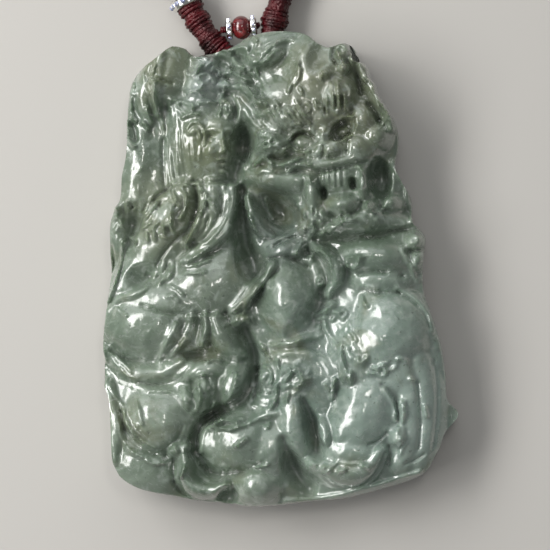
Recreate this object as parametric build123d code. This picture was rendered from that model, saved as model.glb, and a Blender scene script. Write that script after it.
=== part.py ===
from build123d import *
import os
from math import hypot, tan
import numpy as np

# Jade Guanyin pendant on a thread-wound neck cord, lying on its flat back.
# Millimetres. Origin under the middle of the jade, +X to the right of the carving, +Y to its top,
# +Z out of its front.

# The jade: a slab carved on its front, flat on its back, with a tunnel for the cord in its top edge
slab_width = 50.6
slab_height = 67.6
jade_thickness = 15.5       # flat back to the highest point of the carving
rim_height = 6.7            # height of the carved front where it meets the side, over the back
rim_roll = 2.3              # how far in from the side the front starts to roll over
back_bevel = 0.9            # bevel round the flat back

# The neck cord: a core cord, wound over its whole length with thick dark red thread
core_diameter = 1.6
winding_diameter = 3.7
winding_clearance = 0.1     # between the core and the winding on it
tunnel_clearance = 0.25     # between the winding and the tunnel's wall

# The whole loop as it lies, with the jade inside it
loop_width = 182.0
loop_height = 166.0

# The closing sleeve, where the two ends of the loop meet
sleeve_diameter = 1.03 * winding_diameter
sleeve_length = 10.0
end_gap = 0.2               # between the ends that face each other

# The bead between the two strands, its cap rings and its thread
bead_diameter = 0.92 * winding_diameter
bead_length = 0.81 * winding_diameter           # over its rounded ends, before it is bored
bead_bore = 0.35 * winding_diameter
bead_thread_diameter = 0.3 * winding_diameter
bead_thread_left = 0.81 * winding_diameter      # from the bead's middle to each end of its thread
bead_thread_right = 0.7 * winding_diameter
cap_ring_diameter = 0.76 * winding_diameter
cap_ring_width = 0.24 * winding_diameter
cap_ring_bore = 0.49 * winding_diameter
cap_ring_spacing = 0.95 * winding_diameter      # middle to middle, over the bead

# The rings that are threaded on the strands
strand_ring_diameter = 1.3 * winding_diameter
strand_ring_width = 0.43 * winding_diameter
strand_ring_clearance = 0.1
strand_ring_share = 0.43    # how far along its run of the cord each ring sits

# Heights of the cord's middle over the surface that it lies on
tunnel_middle = 3.3
mouth_middle = 2.8
ring_middle = strand_ring_diameter / 2 + 0.05
laid_middle = sleeve_diameter / 2

# The carving is drawn on a chart: squares across from the middle line, squares up from the foot.
# The outline's box on it is the slab's width and height. Heights are hundredths of the thickness.
facet_columns = 56
facet_rows = 75
line_steps = 6              # steps of a smooth line between two chart points

# The outline, corner to corner: foot, right side, top and left side
foot_line = [
    (-33.8, 6.9), (-31.8, 5.3), (-28.5, 3.8), (-21.9, 2.5), (-16.9, 1.7), (-10.4, 1.1), (-6.8, 0.5),
    (-0.5, 0.8), (5.8, 1.6), (13.7, 2.4), (23.3, 4.9), (28.6, 6.8), (30.9, 8.6),
]
right_line = [
    (30.9, 8.6), (32.2, 11.2), (33.2, 13.0), (34.4, 16.2), (37.0, 19.8), (34.8, 22.9), (34.4, 28.0),
    (33.3, 35.0), (31.3, 41.3), (29.8, 46.2), (29.9, 52.5), (30.3, 56.5), (28.9, 58.6), (27.6, 60.2),
    (27.2, 64.8), (25.2, 68.8), (24.0, 71.6), (24.6, 75.5), (24.4, 79.5), (22.6, 83.6), (20.7, 86.4),
    (20.1, 88.6), (18.9, 90.0), (18.4, 92.2), (17.2, 93.2),
]
top_line = [
    (-28.4, 92.7), (-26.0, 94.5), (-24.0, 96.1), (-22.5, 96.9), (-20.2, 96.5), (-18.9, 95.3),
    (-17.3, 94.8), (-14.4, 95.4), (-10.2, 96.8), (-6.2, 99.0), (-1.7, 99.9), (3.3, 99.7), (5.9, 98.9),
    (8.1, 97.3), (9.8, 96.5), (11.2, 96.8), (12.8, 97.3), (14.2, 97.1), (15.1, 95.5), (15.7, 93.8),
    (17.2, 93.2),
]
left_line = [
    (-33.8, 6.9), (-35.3, 10.2), (-35.6, 16.0), (-36.0, 22.5), (-37.1, 26.0), (-37.1, 31.0),
    (-37.5, 35.0), (-36.8, 41.0), (-35.7, 49.0), (-36.0, 54.0), (-36.0, 59.2), (-35.0, 62.6),
    (-33.8, 65.0), (-33.4, 69.5), (-32.4, 74.5), (-32.3, 81.0), (-31.9, 86.0), (-30.9, 90.0),
    (-28.4, 92.7),
]

ground_height = 46
valley_floor = -7           # how far the deepest valley between two forms goes below its mass
mass_fillet = 12.0          # how much the creases between masses are filled
form_fillet = 2.5           # how much the creases between forms are filled
pit_reach = 1.25            # a hollow or valley ends at this many half widths

# Broad masses that everything is carved on
# name, middle across, middle up, half width, half height, turn in degrees, top, fall to its edge
masses = [
    ("left border", -30.0, 74.0, 8.0, 24.0, 2, 58, 8),
    ("tall ridge", -24.6, 88.6, 4.8, 9.4, 4, 66, 12),
    ("figure's head", -16.6, 80.0, 7.6, 17.0, 4, 68, 12),
    ("figure's trunk", -16.0, 56.0, 13.0, 15.0, 0, 68, 12),
    ("lap", -17.0, 41.0, 21.0, 12.0, 2, 72, 16),
    ("beast's head", 6.4, 82.0, 18.0, 19.0, -6, 82, 20),
    ("beast's mouth", 12.0, 66.0, 12.0, 10.0, 0, 80, 18),
    ("beast's shoulder", 19.0, 52.0, 12.0, 9.0, -4, 72, 16),
    ("raised leg", 1.6, 42.0, 9.0, 14.0, 14, 76, 18),
    ("beast's body", 19.0, 32.0, 15.0, 18.0, 0, 76, 20),
    ("clouds on the left", -25.0, 17.0, 15.0, 14.0, 0, 66, 14),
    ("feet", -14.0, 26.0, 11.0, 9.0, 0, 70, 14),
    ("waves in the middle", -6.0, 12.0, 14.0, 12.0, 6, 68, 14),
    ("middle fold", 3.2, 22.0, 7.0, 14.0, 0, 68, 14),
    ("beast's leg", 16.0, 15.0, 13.0, 12.0, 0, 74, 18),
    ("tail", 27.6, 20.0, 6.0, 15.0, 0, 62, 12),
]

# name, middle across, middle up, half width, half height, turn in degrees, depth
hollows = [
    ("behind the beast's cheek", -8.0, 76.2, 2.3, 4.4, -8, 24),
    ("right of the face", -9.6, 71.0, 1.6, 3.0, 0, 8),
    ("under the jaw", 0.2, 62.4, 5.0, 3.2, -38, 26),
    ("right of the mouth", 20.8, 68.9, 2.2, 3.9, 4, 24),
    ("right eye", 12.7, 78.9, 2.8, 1.7, 28, 14),
    ("left eye", 5.1, 76.3, 3.5, 2.5, 0, 9),
    ("mouth", 12.0, 67.6, 4.1, 3.4, 2, 6),
    ("under the pleats", -17.0, 32.2, 3.4, 1.2, 4, 12),
    ("over the wave", -14.2, 19.6, 3.0, 1.3, 34, 12),
    ("left of the ball", -11.0, 2.6, 2.0, 2.2, 0, 12),
    ("under the sleeve", -28.6, 48.6, 3.4, 2.4, 10, 10),
    ("behind the fringe", 8.2, 94.0, 2.2, 3.4, -20, 6),
]

# name, middle line, half widths and depths at its start, middle and end
valleys = [
    ("beside the chest and belly", [(-8.1, 67.0), (-8.2, 61.0), (-7.6, 55.4), (-5.8, 50.0)],
        (1.0, 2.0, 2.8), (7, 14, 25)),
    ("beside the column", [(-30.6, 63.4), (-30.8, 59.6), (-31.6, 55.6)], (1.2, 1.6, 1.0), (6, 11, 6)),
    ("right of the raised knee", [(8.6, 45.0), (7.2, 41.6), (4.8, 38.2), (2.6, 36.8)],
        (1.4, 2.2, 1.6), (8, 15, 8)),
    ("between the feet and the paw", [(-7.4, 37.4), (-5.8, 33.0), (-5.8, 28.0), (-8.4, 23.0),
        (-13.4, 20.2), (-17.0, 17.4), (-18.4, 12.0)],
        (1.1, 1.3, 1.3), (8, 12, 13)),
    ("under the wave", [(-16.8, 10.8), (-15.0, 8.0), (-11.4, 7.0), (-8.2, 8.2)],
        (1.2, 1.5, 1.1), (8, 10, 6)),
    ("between the rocks", [(0.8, 14.6), (1.8, 11.0), (3.2, 7.4), (5.6, 4.8)],
        (1.2, 2.2, 2.0), (8, 20, 12)),
    ("under the leg", [(4.9, 22.8), (5.9, 19.4), (6.9, 15.6), (7.6, 12.0)],
        (0.9, 1.7, 1.8), (7, 16, 10)),
]

# Forms raised on the masses
# name, middle across, middle up, half width, half height, turn in degrees, rise
domes = [
    ("scroll at the left edge", -30.6, 78.4, 1.9, 3.4, 4, 7),
    ("panel", -28.4, 72.0, 6.6, 12.0, 2, 8),
    ("leaf at the left edge", -34.4, 57.6, 2.3, 5.4, 2, 9),
    ("bud on the leaf", -34.3, 62.7, 1.3, 1.3, 0, 7),
    ("headdress top", -15.9, 92.9, 2.7, 2.4, 0, 9),
    ("headdress", -16.6, 88.6, 3.7, 3.6, 0, 10),
    ("head", -17.2, 77.4, 5.9, 8.6, 0, 9),
    ("face", -13.0, 76.0, 4.4, 7.6, -2, 15),
    ("side lock", -21.4, 76.6, 1.8, 8.4, 0, 7),
    ("loop of hair", -11.2, 83.4, 1.6, 2.3, 6, 9),
    ("belly", -14.2, 47.6, 9.6, 6.4, 10, 11),
    ("thigh", -24.4, 43.6, 11.0, 3.6, -8, 8),
    ("folded knee", -28.6, 37.8, 9.2, 7.0, -6, 15),
    ("raised knee", 1.4, 43.2, 6.0, 9.4, 16, 18),
    ("hand", 1.0, 54.8, 4.2, 2.6, 4, 9),
    ("cloud, lower left", -26.0, 18.4, 6.9, 6.6, 0, 13),
    ("foot of the cloud", -29.0, 7.6, 7.4, 4.8, -24, 8),
    ("small knob", -21.6, 12.6, 2.1, 1.8, 0, 8),
    ("wave, middle", -8.2, 14.9, 8.4, 6.8, 12, 17),
    ("wave, right", -2.0, 13.6, 5.2, 5.8, 0, 12),
    ("ball", -4.6, 4.6, 5.2, 4.6, -4, 18),
    ("forehead ball", 7.4, 91.4, 5.4, 8.4, 4, 8),
    ("foot of the forehead", 3.0, 85.4, 6.0, 3.0, 0, 4),
    ("ear", -3.2, 94.6, 4.4, 2.2, 24, 7),
    ("crown", -5.0, 97.6, 6.0, 1.9, 14, 5),
    ("fringe", 12.2, 86.0, 4.0, 5.0, 0, 15),
    ("fringe, left knob", 9.6, 90.4, 1.6, 1.5, 0, 20),
    ("fringe, right knob", 13.2, 91.6, 1.8, 1.7, 0, 19),
    ("top tuft", 13.0, 94.9, 1.9, 2.5, 6, 13),
    ("right temple", 17.2, 81.0, 2.6, 2.9, 10, 5),
    ("right cheek", 20.4, 77.4, 3.1, 2.9, 0, 12),
    ("brow", 8.0, 81.0, 3.2, 3.0, 0, 7),
    ("left eyeball", 5.2, 76.2, 2.5, 1.8, 0, 9),
    ("right eyeball", 12.9, 78.7, 1.6, 1.0, 28, 7),
    ("nose", 7.8, 74.5, 2.4, 1.9, -10, 11),
    ("nose, right", 10.9, 74.7, 2.9, 2.1, 6, 13),
    ("bridge of the nose", 9.4, 77.8, 1.9, 3.0, 0, 9),
    ("right muzzle", 16.4, 74.4, 4.4, 3.4, 14, 8),
    ("cheek curls", -1.8, 75.8, 3.4, 2.8, -12, 8),
    ("jaw", 0.4, 68.6, 8.0, 2.5, -6, 11),
    ("left post of the mouth", 6.6, 65.6, 1.9, 4.9, 4, 11),
    ("right post of the mouth", 17.3, 68.2, 1.3, 4.0, 0, 10),
    ("teeth", 11.6, 68.9, 4.0, 2.6, 2, 10),
    ("chin", 13.1, 63.4, 3.8, 2.4, 2, 14),
    ("beard", 6.8, 60.0, 3.4, 2.8, 0, 7),
    ("small ball, right", 23.4, 63.5, 2.4, 2.1, 0, 11),
    ("small ball, left", 18.8, 62.7, 1.9, 1.7, 0, 9),
    ("knob at the right edge", 28.2, 56.0, 2.4, 2.3, 0, 14),
    ("under the knob", 28.6, 52.0, 1.6, 2.2, -10, 8),
    ("shoulder", 20.2, 52.8, 7.4, 3.5, -4, 12),
    ("second band", 21.0, 47.4, 5.4, 2.1, -5, 6),
    ("haunch", 22.4, 36.0, 10.4, 8.2, 28, 19),
    ("upper haunch", 24.0, 40.6, 8.0, 6.2, -24, 15),
    ("front of the leg", 15.4, 30.4, 5.0, 6.4, 0, 9),
    ("lower haunch", 24.6, 28.4, 4.6, 3.4, -60, 7),
    ("beast's thigh", 17.0, 20.2, 7.6, 10.0, -27, 18),
    ("toes over the paw", 14.8, 12.0, 6.4, 3.2, -4, 10),
    ("lobe on the tail", 24.6, 15.6, 2.2, 3.2, 6, 12),
    ("small lobe", 9.2, 16.2, 1.6, 4.0, 10, 11),
    ("swirl", 3.6, 27.6, 8.4, 6.6, -10, 11),
    ("tongue of the fold", 2.9, 18.4, 4.4, 9.4, 4, 14),
    ("right lobe of the fold", 7.2, 24.6, 2.8, 4.6, 22, 6),
    ("scroll, upper", -3.2, 27.8, 1.7, 2.7, 0, 9),
    ("scroll, lower", -2.8, 23.4, 2.4, 1.9, -10, 9),
    ("bank over the wave", -2.6, 20.0, 4.6, 1.7, 16, 6),
    ("paw", -9.6, 26.2, 3.0, 5.0, -16, 15),
    ("first toe", -15.8, 24.6, 2.3, 4.2, -12, 12),
    ("second toe", -19.2, 22.6, 1.5, 3.0, 24, 10),
    ("over the toes", -16.6, 29.2, 5.0, 1.9, 8, 6),
    ("top of the hand", -8.4, 39.6, 1.9, 1.4, 20, 9),
]

# Longer forms raised on the masses
# name, middle line, half widths and rises at its start, middle and end
rolls = [
    ("tall ridge", [(-24.9, 95.0), (-25.5, 91.4), (-25.9, 87.0), (-25.9, 82.4)],
        (2.4, 2.6, 0.9), (13, 12, 6)),
    ("tall ridge, right side", [(-23.2, 95.0), (-23.9, 91.2), (-24.6, 87.0)],
        (4.2, 4.4, 2.4), (8, 7, 5)),
    ("second ridge", [(-27.2, 92.2), (-29.0, 88.0), (-28.8, 84.0), (-27.4, 80.6)],
        (1.8, 2.4, 1.0), (10, 10, 6)),
    ("column", [(-28.7, 80.0), (-29.1, 75.0), (-29.6, 70.0), (-30.6, 64.6)],
        (2.0, 4.3, 3.6), (6, 12, 10)),
    ("sleeve", [(-20.4, 66.6), (-22.8, 62.0), (-26.4, 56.6), (-30.2, 51.0), (-34.0, 46.4)],
        (3.2, 5.6, 2.8), (12, 14, 7)),
    ("lapel", [(-16.9, 67.2), (-16.2, 64.4), (-16.4, 61.4), (-18.0, 57.8), (-19.6, 55.2)],
        (1.2, 1.3, 0.9), (11, 11, 8)),
    ("chest", [(-13.9, 67.4), (-13.7, 63.6), (-14.8, 60.0), (-17.4, 56.8)], (2.6, 2.4, 1.2), (9, 9, 6)),
    ("robe band", [(-9.9, 67.2), (-9.5, 62.6), (-10.9, 58.6), (-13.6, 55.6), (-17.4, 52.6), (-20.4, 51.2)],
        (1.3, 1.7, 0.9), (9, 11, 7)),
    ("far sleeve", [(-6.9, 65.2), (-5.6, 61.2), (-4.0, 58.4), (-1.8, 57.0)],
        (0.9, 1.9, 0.9), (8, 10, 8)),
    ("forearm", [(-1.8, 50.6), (-5.6, 46.2), (-9.6, 41.6)], (1.9, 2.0, 1.4), (14, 14, 10)),
    ("pleat 4", [(-15.4, 40.6), (-15.2, 37.6), (-16.2, 34.4)], (1.1, 1.3, 1.0), (13, 13, 9)),
    ("foot", [(-13.4, 39.8), (-12.2, 36.6), (-10.0, 33.4), (-8.6, 32.4)], (2.0, 3.1, 1.8), (13, 16, 13)),
    ("upper hem", [(-36.4, 32.8), (-33.0, 29.4), (-29.0, 28.4), (-24.6, 28.8), (-20.6, 30.8)],
        (1.2, 1.7, 1.1), (4, 6, 6)),
    ("left strip", [(-36.6, 26.0), (-35.3, 20.6), (-34.8, 15.0), (-34.6, 10.2)],
        (1.2, 1.4, 1.4), (4, 5, 6)),
    ("curled wave", [(-19.6, 12.8), (-19.8, 9.6), (-19.6, 6.4), (-17.4, 4.2), (-14.2, 3.9), (-11.6, 5.2)],
        (1.5, 2.2, 1.2), (10, 13, 8)),
    ("hooked band", [(7.2, 54.6), (9.6, 53.2), (11.5, 50.6), (11.5, 47.6), (9.8, 45.0)],
        (1.5, 2.0, 1.1), (14, 19, 9)),
    ("mane lock 3", [(-12.4, 88.6), (-9.8, 88.2), (-7.4, 87.5), (-5.6, 85.8), (-3.8, 84.0), (-1.2, 83.4)],
        (1.0, 1.5, 0.9), (10, 12, 9)),
    ("right lock", [(15.2, 93.6), (18.0, 90.2), (20.2, 86.2), (22.2, 82.6), (23.2, 79.2)],
        (1.3, 1.9, 1.1), (12, 13, 9)),
    ("brow band", [(-2.4, 82.8), (1.4, 81.5), (5.0, 81.7), (8.0, 82.8)], (1.7, 2.5, 1.6), (6, 8, 6)),
    ("upper lip", [(-1.4, 71.4), (3.2, 72.0), (7.4, 71.4), (11.4, 72.0), (15.2, 72.9), (19.0, 74.0)],
        (0.9, 1.6, 1.0), (6, 9, 5)),
    ("collar", [(9.0, 57.4), (13.6, 59.3), (19.0, 60.0), (24.4, 60.4), (27.2, 60.0)],
        (1.3, 2.6, 1.4), (10, 13, 7)),
    ("hind paw", [(6.8, 9.6), (10.4, 8.0), (14.4, 7.4), (18.2, 8.6), (20.6, 12.0)],
        (2.4, 3.2, 1.8), (12, 14, 9)),
    ("tail lock", [(25.6, 31.0), (26.9, 25.6), (27.2, 19.6), (26.8, 14.0), (25.6, 9.6)],
        (1.8, 2.9, 2.4), (4, 6, 5)),
    ("outer tail lock", [(28.6, 31.0), (30.4, 26.0), (30.8, 19.6), (30.3, 14.0), (28.8, 10.2)],
        (1.4, 2.6, 1.8), (2, 3, 2)),
]

# The cord's route, from the sleeve up the left side, through the tunnel, and down the right side.
# The loop's own points: across from the middle line, as a share of its width, and down from the
# slab's top edge, as a share of its height
loop_left = [
    (-0.0192, 0.7446), (-0.1978, 0.7446), (-0.3571, 0.6253), (-0.4615, 0.4325), (-0.5000, 0.2157),
    (-0.5055, -0.0012), (-0.4396, -0.1819), (-0.2967, -0.2542), (-0.1593, -0.1699),
]
loop_right = [
    (0.0934, -0.2000), (0.2418, -0.2542), (0.3901, -0.1639), (0.4780, 0.0169), (0.4945, 0.2398),
    (0.4505, 0.4566), (0.3297, 0.6374), (0.1593, 0.7446), (-0.0165, 0.7446),
]
# Its points near the jade: across, and down from the slab's top edge, in winding diameters, and the
# height of the cord's middle. The tunnel's two corners are the third and the fourth.
near_jade = [
    (-4.460, -3.027, ring_middle), (-3.081, -0.054, mouth_middle), (-1.541, 1.432, tunnel_middle),
    (-0.595, 1.027, tunnel_middle), (-0.216, -0.811, mouth_middle), (0.811, -4.378, ring_middle),
]
steps_to_tunnel = len(loop_left) + 2
arc_share = 0.45            # an arc takes this share of the shorter run beside it

# The bead's middle: across, and down from the slab's top edge, in winding diameters, and its height
bead_place = (-1.541, -0.270)
bead_level = 3.6
bead_turn = 7.0             # degrees, of the bead's axis from +X towards +Y


def on_loop(row):
    return row[0] * loop_width, slab_height / 2 - row[1] * loop_height, laid_middle


def by_jade(row, level):
    return row[0] * winding_diameter, slab_height / 2 - row[1] * winding_diameter, level


cord_route = (
    [on_loop(row) for row in loop_left]
    + [by_jade(row, row[2]) for row in near_jade]
    + [on_loop(row) for row in loop_right]
)
bead_middle = by_jade(bead_place, bead_level)


def smooth_line(points):
    """Points on a smooth line through a few chart points."""
    p = np.array(points, float)
    p = np.vstack([2 * p[0] - p[1], p, 2 * p[-1] - p[-2]])
    line = []
    for a, b, c, d in zip(p[:-3], p[1:-2], p[2:-1], p[3:]):
        for t in np.arange(line_steps) / line_steps:
            bend = (2 * a - 5 * b + 4 * c - d) * t**2 + (3 * b - a - 3 * c + d) * t**3
            line.append((2 * b + (c - a) * t + bend) / 2)
    return np.array(line + [p[-2]])


def along(line, count):
    """The same line as count even steps."""
    length = np.concatenate([[0], np.cumsum(np.hypot(*np.diff(line, axis=0).T))])
    at = np.linspace(0, length[-1], count + 1)
    return np.column_stack([np.interp(at, length, line[:, k]) for k in (0, 1)])


def nearest(u, v, line):
    """How far each chart place is from a line, and how far along it the nearest point is, from 0 to 1."""
    far, share = np.full(u.shape, np.inf), np.zeros(u.shape)
    steps = np.diff(line, axis=0)
    lengths = np.hypot(*steps.T)
    starts = np.concatenate([[0], np.cumsum(lengths)])
    for (a, b), (du, dv), length, start in zip(line, steps, lengths, starts):
        t = np.clip(((u - a) * du + (v - b) * dv) / length**2, 0, 1)
        here = np.hypot(u - a - t * du, v - b - t * dv)
        share = np.where(here < far, (start + t * length) / starts[-1], share)
        far = np.minimum(here, far)
    return far, share


def between(share, values):
    """A row's start, middle and end values, joined by one smooth curve."""
    start, middle, end = values
    rise = 1 - np.abs(2 * share - 1)
    rise = rise * rise * (3 - 2 * rise)
    return np.where(share < 0.5, start, end) * (1 - rise) + middle * rise


def joined(height, form, fillet):
    """The higher of two heights, with the crease between them filled."""
    close = np.clip(fillet - np.abs(height - form), 0, None) / fillet
    return np.maximum(height, form) + 0.25 * fillet * close**2


def cap(q):
    """A round cap's share of its rise at q: 0 is its middle, 1 its edge, and it goes on falling."""
    return 0.6 - 0.95 * q**2


def oval_share(u, v, middle, half_sizes, turn):
    """0 in an oval's middle, 1 on its edge."""
    du, dv = u - middle[0], v - middle[1]
    c, s = np.cos(np.radians(turn)), np.sin(np.radians(turn))
    return np.hypot((du * c + dv * s) / half_sizes[0], (dv * c - du * s) / half_sizes[1])


def carved_height(u, v):
    """The front's height in hundredths of the thickness, before it rolls over at the rim."""
    ground = np.full(u.shape, float(ground_height))
    for _, a, b, wide, high, turn, top, fall in masses:
        q = oval_share(u, v, (a, b), (wide, high), turn)
        ground = joined(ground, top - fall * q**2.4, mass_fillet)
    relief = np.full(u.shape, float(valley_floor))
    for _, a, b, wide, high, turn, rise in domes:
        q = oval_share(u, v, (a, b), (wide, high), turn)
        relief = joined(relief, rise * cap(q), form_fillet)
    for _, line, widths, rises in rolls:
        far, share = nearest(u, v, smooth_line(line))
        relief = joined(relief, between(share, rises) * cap(far / between(share, widths)), form_fillet)
    for _, a, b, wide, high, turn, depth in hollows:
        q = np.clip(oval_share(u, v, (a, b), (wide, high), turn) / pit_reach, 0, 1)
        relief = relief - depth * (1 - q**2) ** 1.5
    for _, line, widths, depths in valleys:
        far, share = nearest(u, v, smooth_line(line))
        q = np.clip(far / between(share, widths) / pit_reach, 0, 1)
        relief = relief - between(share, depths) * (1 - q**2) ** 1.5
    return ground + relief


def chart_grid():
    """Chart places in rows and columns that fill the outline from edge to edge."""
    foot, top = along(smooth_line(foot_line), facet_columns), along(smooth_line(top_line), facet_columns)
    left, right = along(smooth_line(left_line), facet_rows), along(smooth_line(right_line), facet_rows)
    s = np.linspace(0, 1, facet_columns + 1)[None, :, None]
    t = np.linspace(0, 1, facet_rows + 1)[:, None, None]
    corners = (foot[0] * (1 - s) + foot[-1] * s) * (1 - t) + (top[0] * (1 - s) + top[-1] * s) * t
    return foot[None] * (1 - t) + top[None] * t + left[:, None] * (1 - s) + right[:, None] * s - corners


def edge_of(rows):
    """The grid's border, anticlockwise from its first corner."""
    return np.vstack([rows[0, :-1], rows[:-1, -1], rows[-1, :0:-1], rows[:0:-1, 0]])


def triangle(a, b, c):
    return Face(Wire.make_polygon([Vector(*a), Vector(*b), Vector(*c)]))


def jade_blank():
    """The carved jade as one closed solid of facets, without its tunnel."""
    chart = chart_grid()
    low, high = edge_of(chart).min(0), edge_of(chart).max(0)
    place = (chart - (low + high) / 2) / (high - low) * np.array([slab_width, slab_height])
    border = edge_of(place)
    far = nearest(place[..., 0], place[..., 1], np.vstack([border, border[:1]]))[0]
    roll = np.sqrt(1 - (1 - np.clip(far / rim_roll, 0, 1)) ** 2)
    rim = rim_height + (jade_thickness - rim_height) * roll
    height = carved_height(chart[..., 0], chart[..., 1])
    front = np.dstack([place, np.minimum(height / height.max() * jade_thickness, rim)])
    facets = []
    for low, high in zip(front[:-1], front[1:]):
        for a, b, c, d in zip(low[:-1], low[1:], high[1:], high[:-1]):
            facets += [triangle(a, b, c), triangle(a, c, d)]
    top = edge_of(front)
    along_edge = np.roll(border, -1, 0) - np.roll(border, 1, 0)
    inward = np.column_stack([-along_edge[:, 1], along_edge[:, 0]]) / np.hypot(*along_edge.T)[:, None]
    shoulder = np.column_stack([border, np.full(len(border), back_bevel)])
    back = np.column_stack([border + inward * back_bevel, np.zeros(len(border))])
    for k in range(len(border)):
        j = (k + 1) % len(border)
        side = [Vector(*p) for p in (top[j], top[k], shoulder[k], shoulder[j])]
        facets.append(Face(Wire.make_polygon(side)))
        facets += [triangle(shoulder[j], shoulder[k], back[k]), triangle(shoulder[j], back[k], back[j])]
    facets.append(Face(Wire.make_polygon([Vector(*p) for p in back[::-1]])))
    return Solid(Shell(facets))


def corner_radii(points):
    """For each corner of a route, the radius of the largest arc that its two runs leave room for."""
    points = [Vector(*p) for p in points]
    radii = []
    for before, corner, after in zip(points, points[1:], points[2:]):
        runs = (corner - before, after - corner)
        turn = np.radians(runs[0].get_angle(runs[1]))
        radii.append(arc_share * min(run.length for run in runs) / tan(turn / 2))
    return radii


route_radii = corner_radii(cord_route)


def tube(path, radius, bore_radius=0):
    """A round tube, or a solid rod with no bore, along a path."""
    section = Circle(radius) - Circle(bore_radius) if bore_radius else Circle(radius)
    return sweep(Plane(origin=path @ 0, z_dir=path % 0) * section, path=path)


def partway(start, end, share):
    return tuple(a + (b - a) * share for a, b in zip(start, end))


def cord_piece(start, first_corner, last_corner, end):
    """The cord's path from one place through some of the route's corners to another place."""
    points = [start, *cord_route[first_corner : last_corner + 1], end]
    return FilletPolyline(*points, radius=route_radii[first_corner - 1 : last_corner])


def winding_ends():
    """Where the two windings meet in the tunnel, and where they stop at the sleeve."""
    left, right = cord_route[steps_to_tunnel], cord_route[steps_to_tunnel + 1]
    half_gap = end_gap / 2 / hypot(right[0] - left[0], right[1] - left[1])
    reach = sleeve_length / 2 + end_gap
    middle = (cord_route[0][0] + cord_route[-1][0]) / 2
    return (
        partway(left, right, 0.5 - half_gap),
        partway(left, right, 0.5 + half_gap),
        (middle - reach, *cord_route[0][1:]),
        (middle + reach, *cord_route[-1][1:]),
    )


def tunnel():
    """The tunnel's bore: the cord's own way through the top edge, with room round the winding."""
    before, after = cord_route[steps_to_tunnel - 1], cord_route[steps_to_tunnel + 2]
    path = cord_piece(before, steps_to_tunnel, steps_to_tunnel + 1, after)
    return tube(path, winding_diameter / 2 + tunnel_clearance)


def ring_at(middle, axis, diameter, bore, width):
    """A ring with rounded edges, square to its axis."""
    plane = Plane(origin=middle, z_dir=axis)
    ring = extrude(plane * (Circle(diameter / 2) - Circle(bore / 2)), amount=width / 2, both=True)
    outer = ring.edges().filter_by(GeomType.CIRCLE).sort_by(SortBy.LENGTH)[-2:]
    return fillet(outer, width / 4)


def strand_ring(corner, next_corner):
    """A ring round the winding, on the route's run from one corner to the next."""
    start, end = cord_route[corner], cord_route[next_corner]
    axis = Vector(*end) - Vector(*start)
    bore = winding_diameter + 2 * strand_ring_clearance
    middle = partway(start, end, strand_ring_share)
    return ring_at(middle, axis, strand_ring_diameter, bore, strand_ring_width)


def on_bead_axis(distance):
    """The place on the bead's thread at a distance from the bead's middle, to the right of it."""
    turn = np.radians(bead_turn)
    return tuple(np.array(bead_middle) + np.array([np.cos(turn), np.sin(turn), 0]) * distance)


def cap_ring(side):
    """The ring at the bead's left end (side -1) or right end (side 1)."""
    middle = on_bead_axis(side * cap_ring_spacing / 2)
    axis = Vector(*on_bead_axis(1)) - Vector(*bead_middle)
    return ring_at(middle, axis, cap_ring_diameter, cap_ring_bore, cap_ring_width)


def bead():
    """A squat round bead, bored along its thread."""
    beyond_bore = Pos(bead_bore / 2 + bead_diameter / 2, 0) * Rectangle(bead_diameter, bead_length)
    section = Ellipse(bead_diameter / 2, bead_length / 2) & beyond_bore
    axis = Vector(*on_bead_axis(1)) - Vector(*bead_middle)
    return Plane(origin=bead_middle, z_dir=axis).location * revolve(Plane.XZ * section, axis=Axis.Z)


def sleeve():
    middle = partway(cord_route[0], cord_route[-1], 0.5)
    bore = core_diameter / 2 + winding_clearance
    plane = Plane(origin=middle, z_dir=(1, 0, 0))
    return extrude(plane * (Circle(sleeve_diameter / 2) - Circle(bore)), amount=sleeve_length / 2, both=True)


def pieces():
    """Every piece by the name of its node."""
    core_radius, winding_radius = core_diameter / 2, winding_diameter / 2
    winding_bore = core_radius + winding_clearance
    left_start, right_start, left_end, right_end = winding_ends()
    last = len(cord_route) - 2
    core = FilletPolyline(*cord_route, radius=route_radii)
    left = cord_piece(left_end, 1, steps_to_tunnel, left_start)
    right = cord_piece(right_start, steps_to_tunnel + 1, last, right_end)
    thread = Line(on_bead_axis(-bead_thread_left), on_bead_axis(bead_thread_right))
    return {
        "jade_pendant": jade_blank() - tunnel(),
        "neck_cord": tube(core, core_radius),
        "cord_winding_left": tube(left, winding_radius, winding_bore),
        "cord_winding_right": tube(right, winding_radius, winding_bore),
        "closing_sleeve": sleeve(),
        "strand_ring_left": strand_ring(steps_to_tunnel - 1, steps_to_tunnel - 2),
        "strand_ring_right": strand_ring(steps_to_tunnel + 2, steps_to_tunnel + 3),
        "centre_bead": bead(),
        "bead_ring_left": cap_ring(-1),
        "bead_ring_right": cap_ring(1),
        "bead_thread": tube(thread, bead_thread_diameter / 2),
    }


os.makedirs("parts", exist_ok=True)
made = pieces()
for node, piece in made.items():
    export_step(piece, f"parts/{node}.step")

cord_length = FilletPolyline(*cord_route, radius=route_radii).length
core_section = Circle(core_diameter / 2).area
print("cord radii, mm:", " ".join(f"{radius:.1f}" for radius in route_radii))
print(f"cord length {cord_length:.1f} mm")
print(f"core volume over section times length {made['neck_cord'].volume / core_section / cord_length:.4f}")
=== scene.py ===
from math import cos, pi, radians, sin, sqrt

import bmesh
import bpy
import numpy as np
from mathutils import Matrix, Vector, noise


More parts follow.
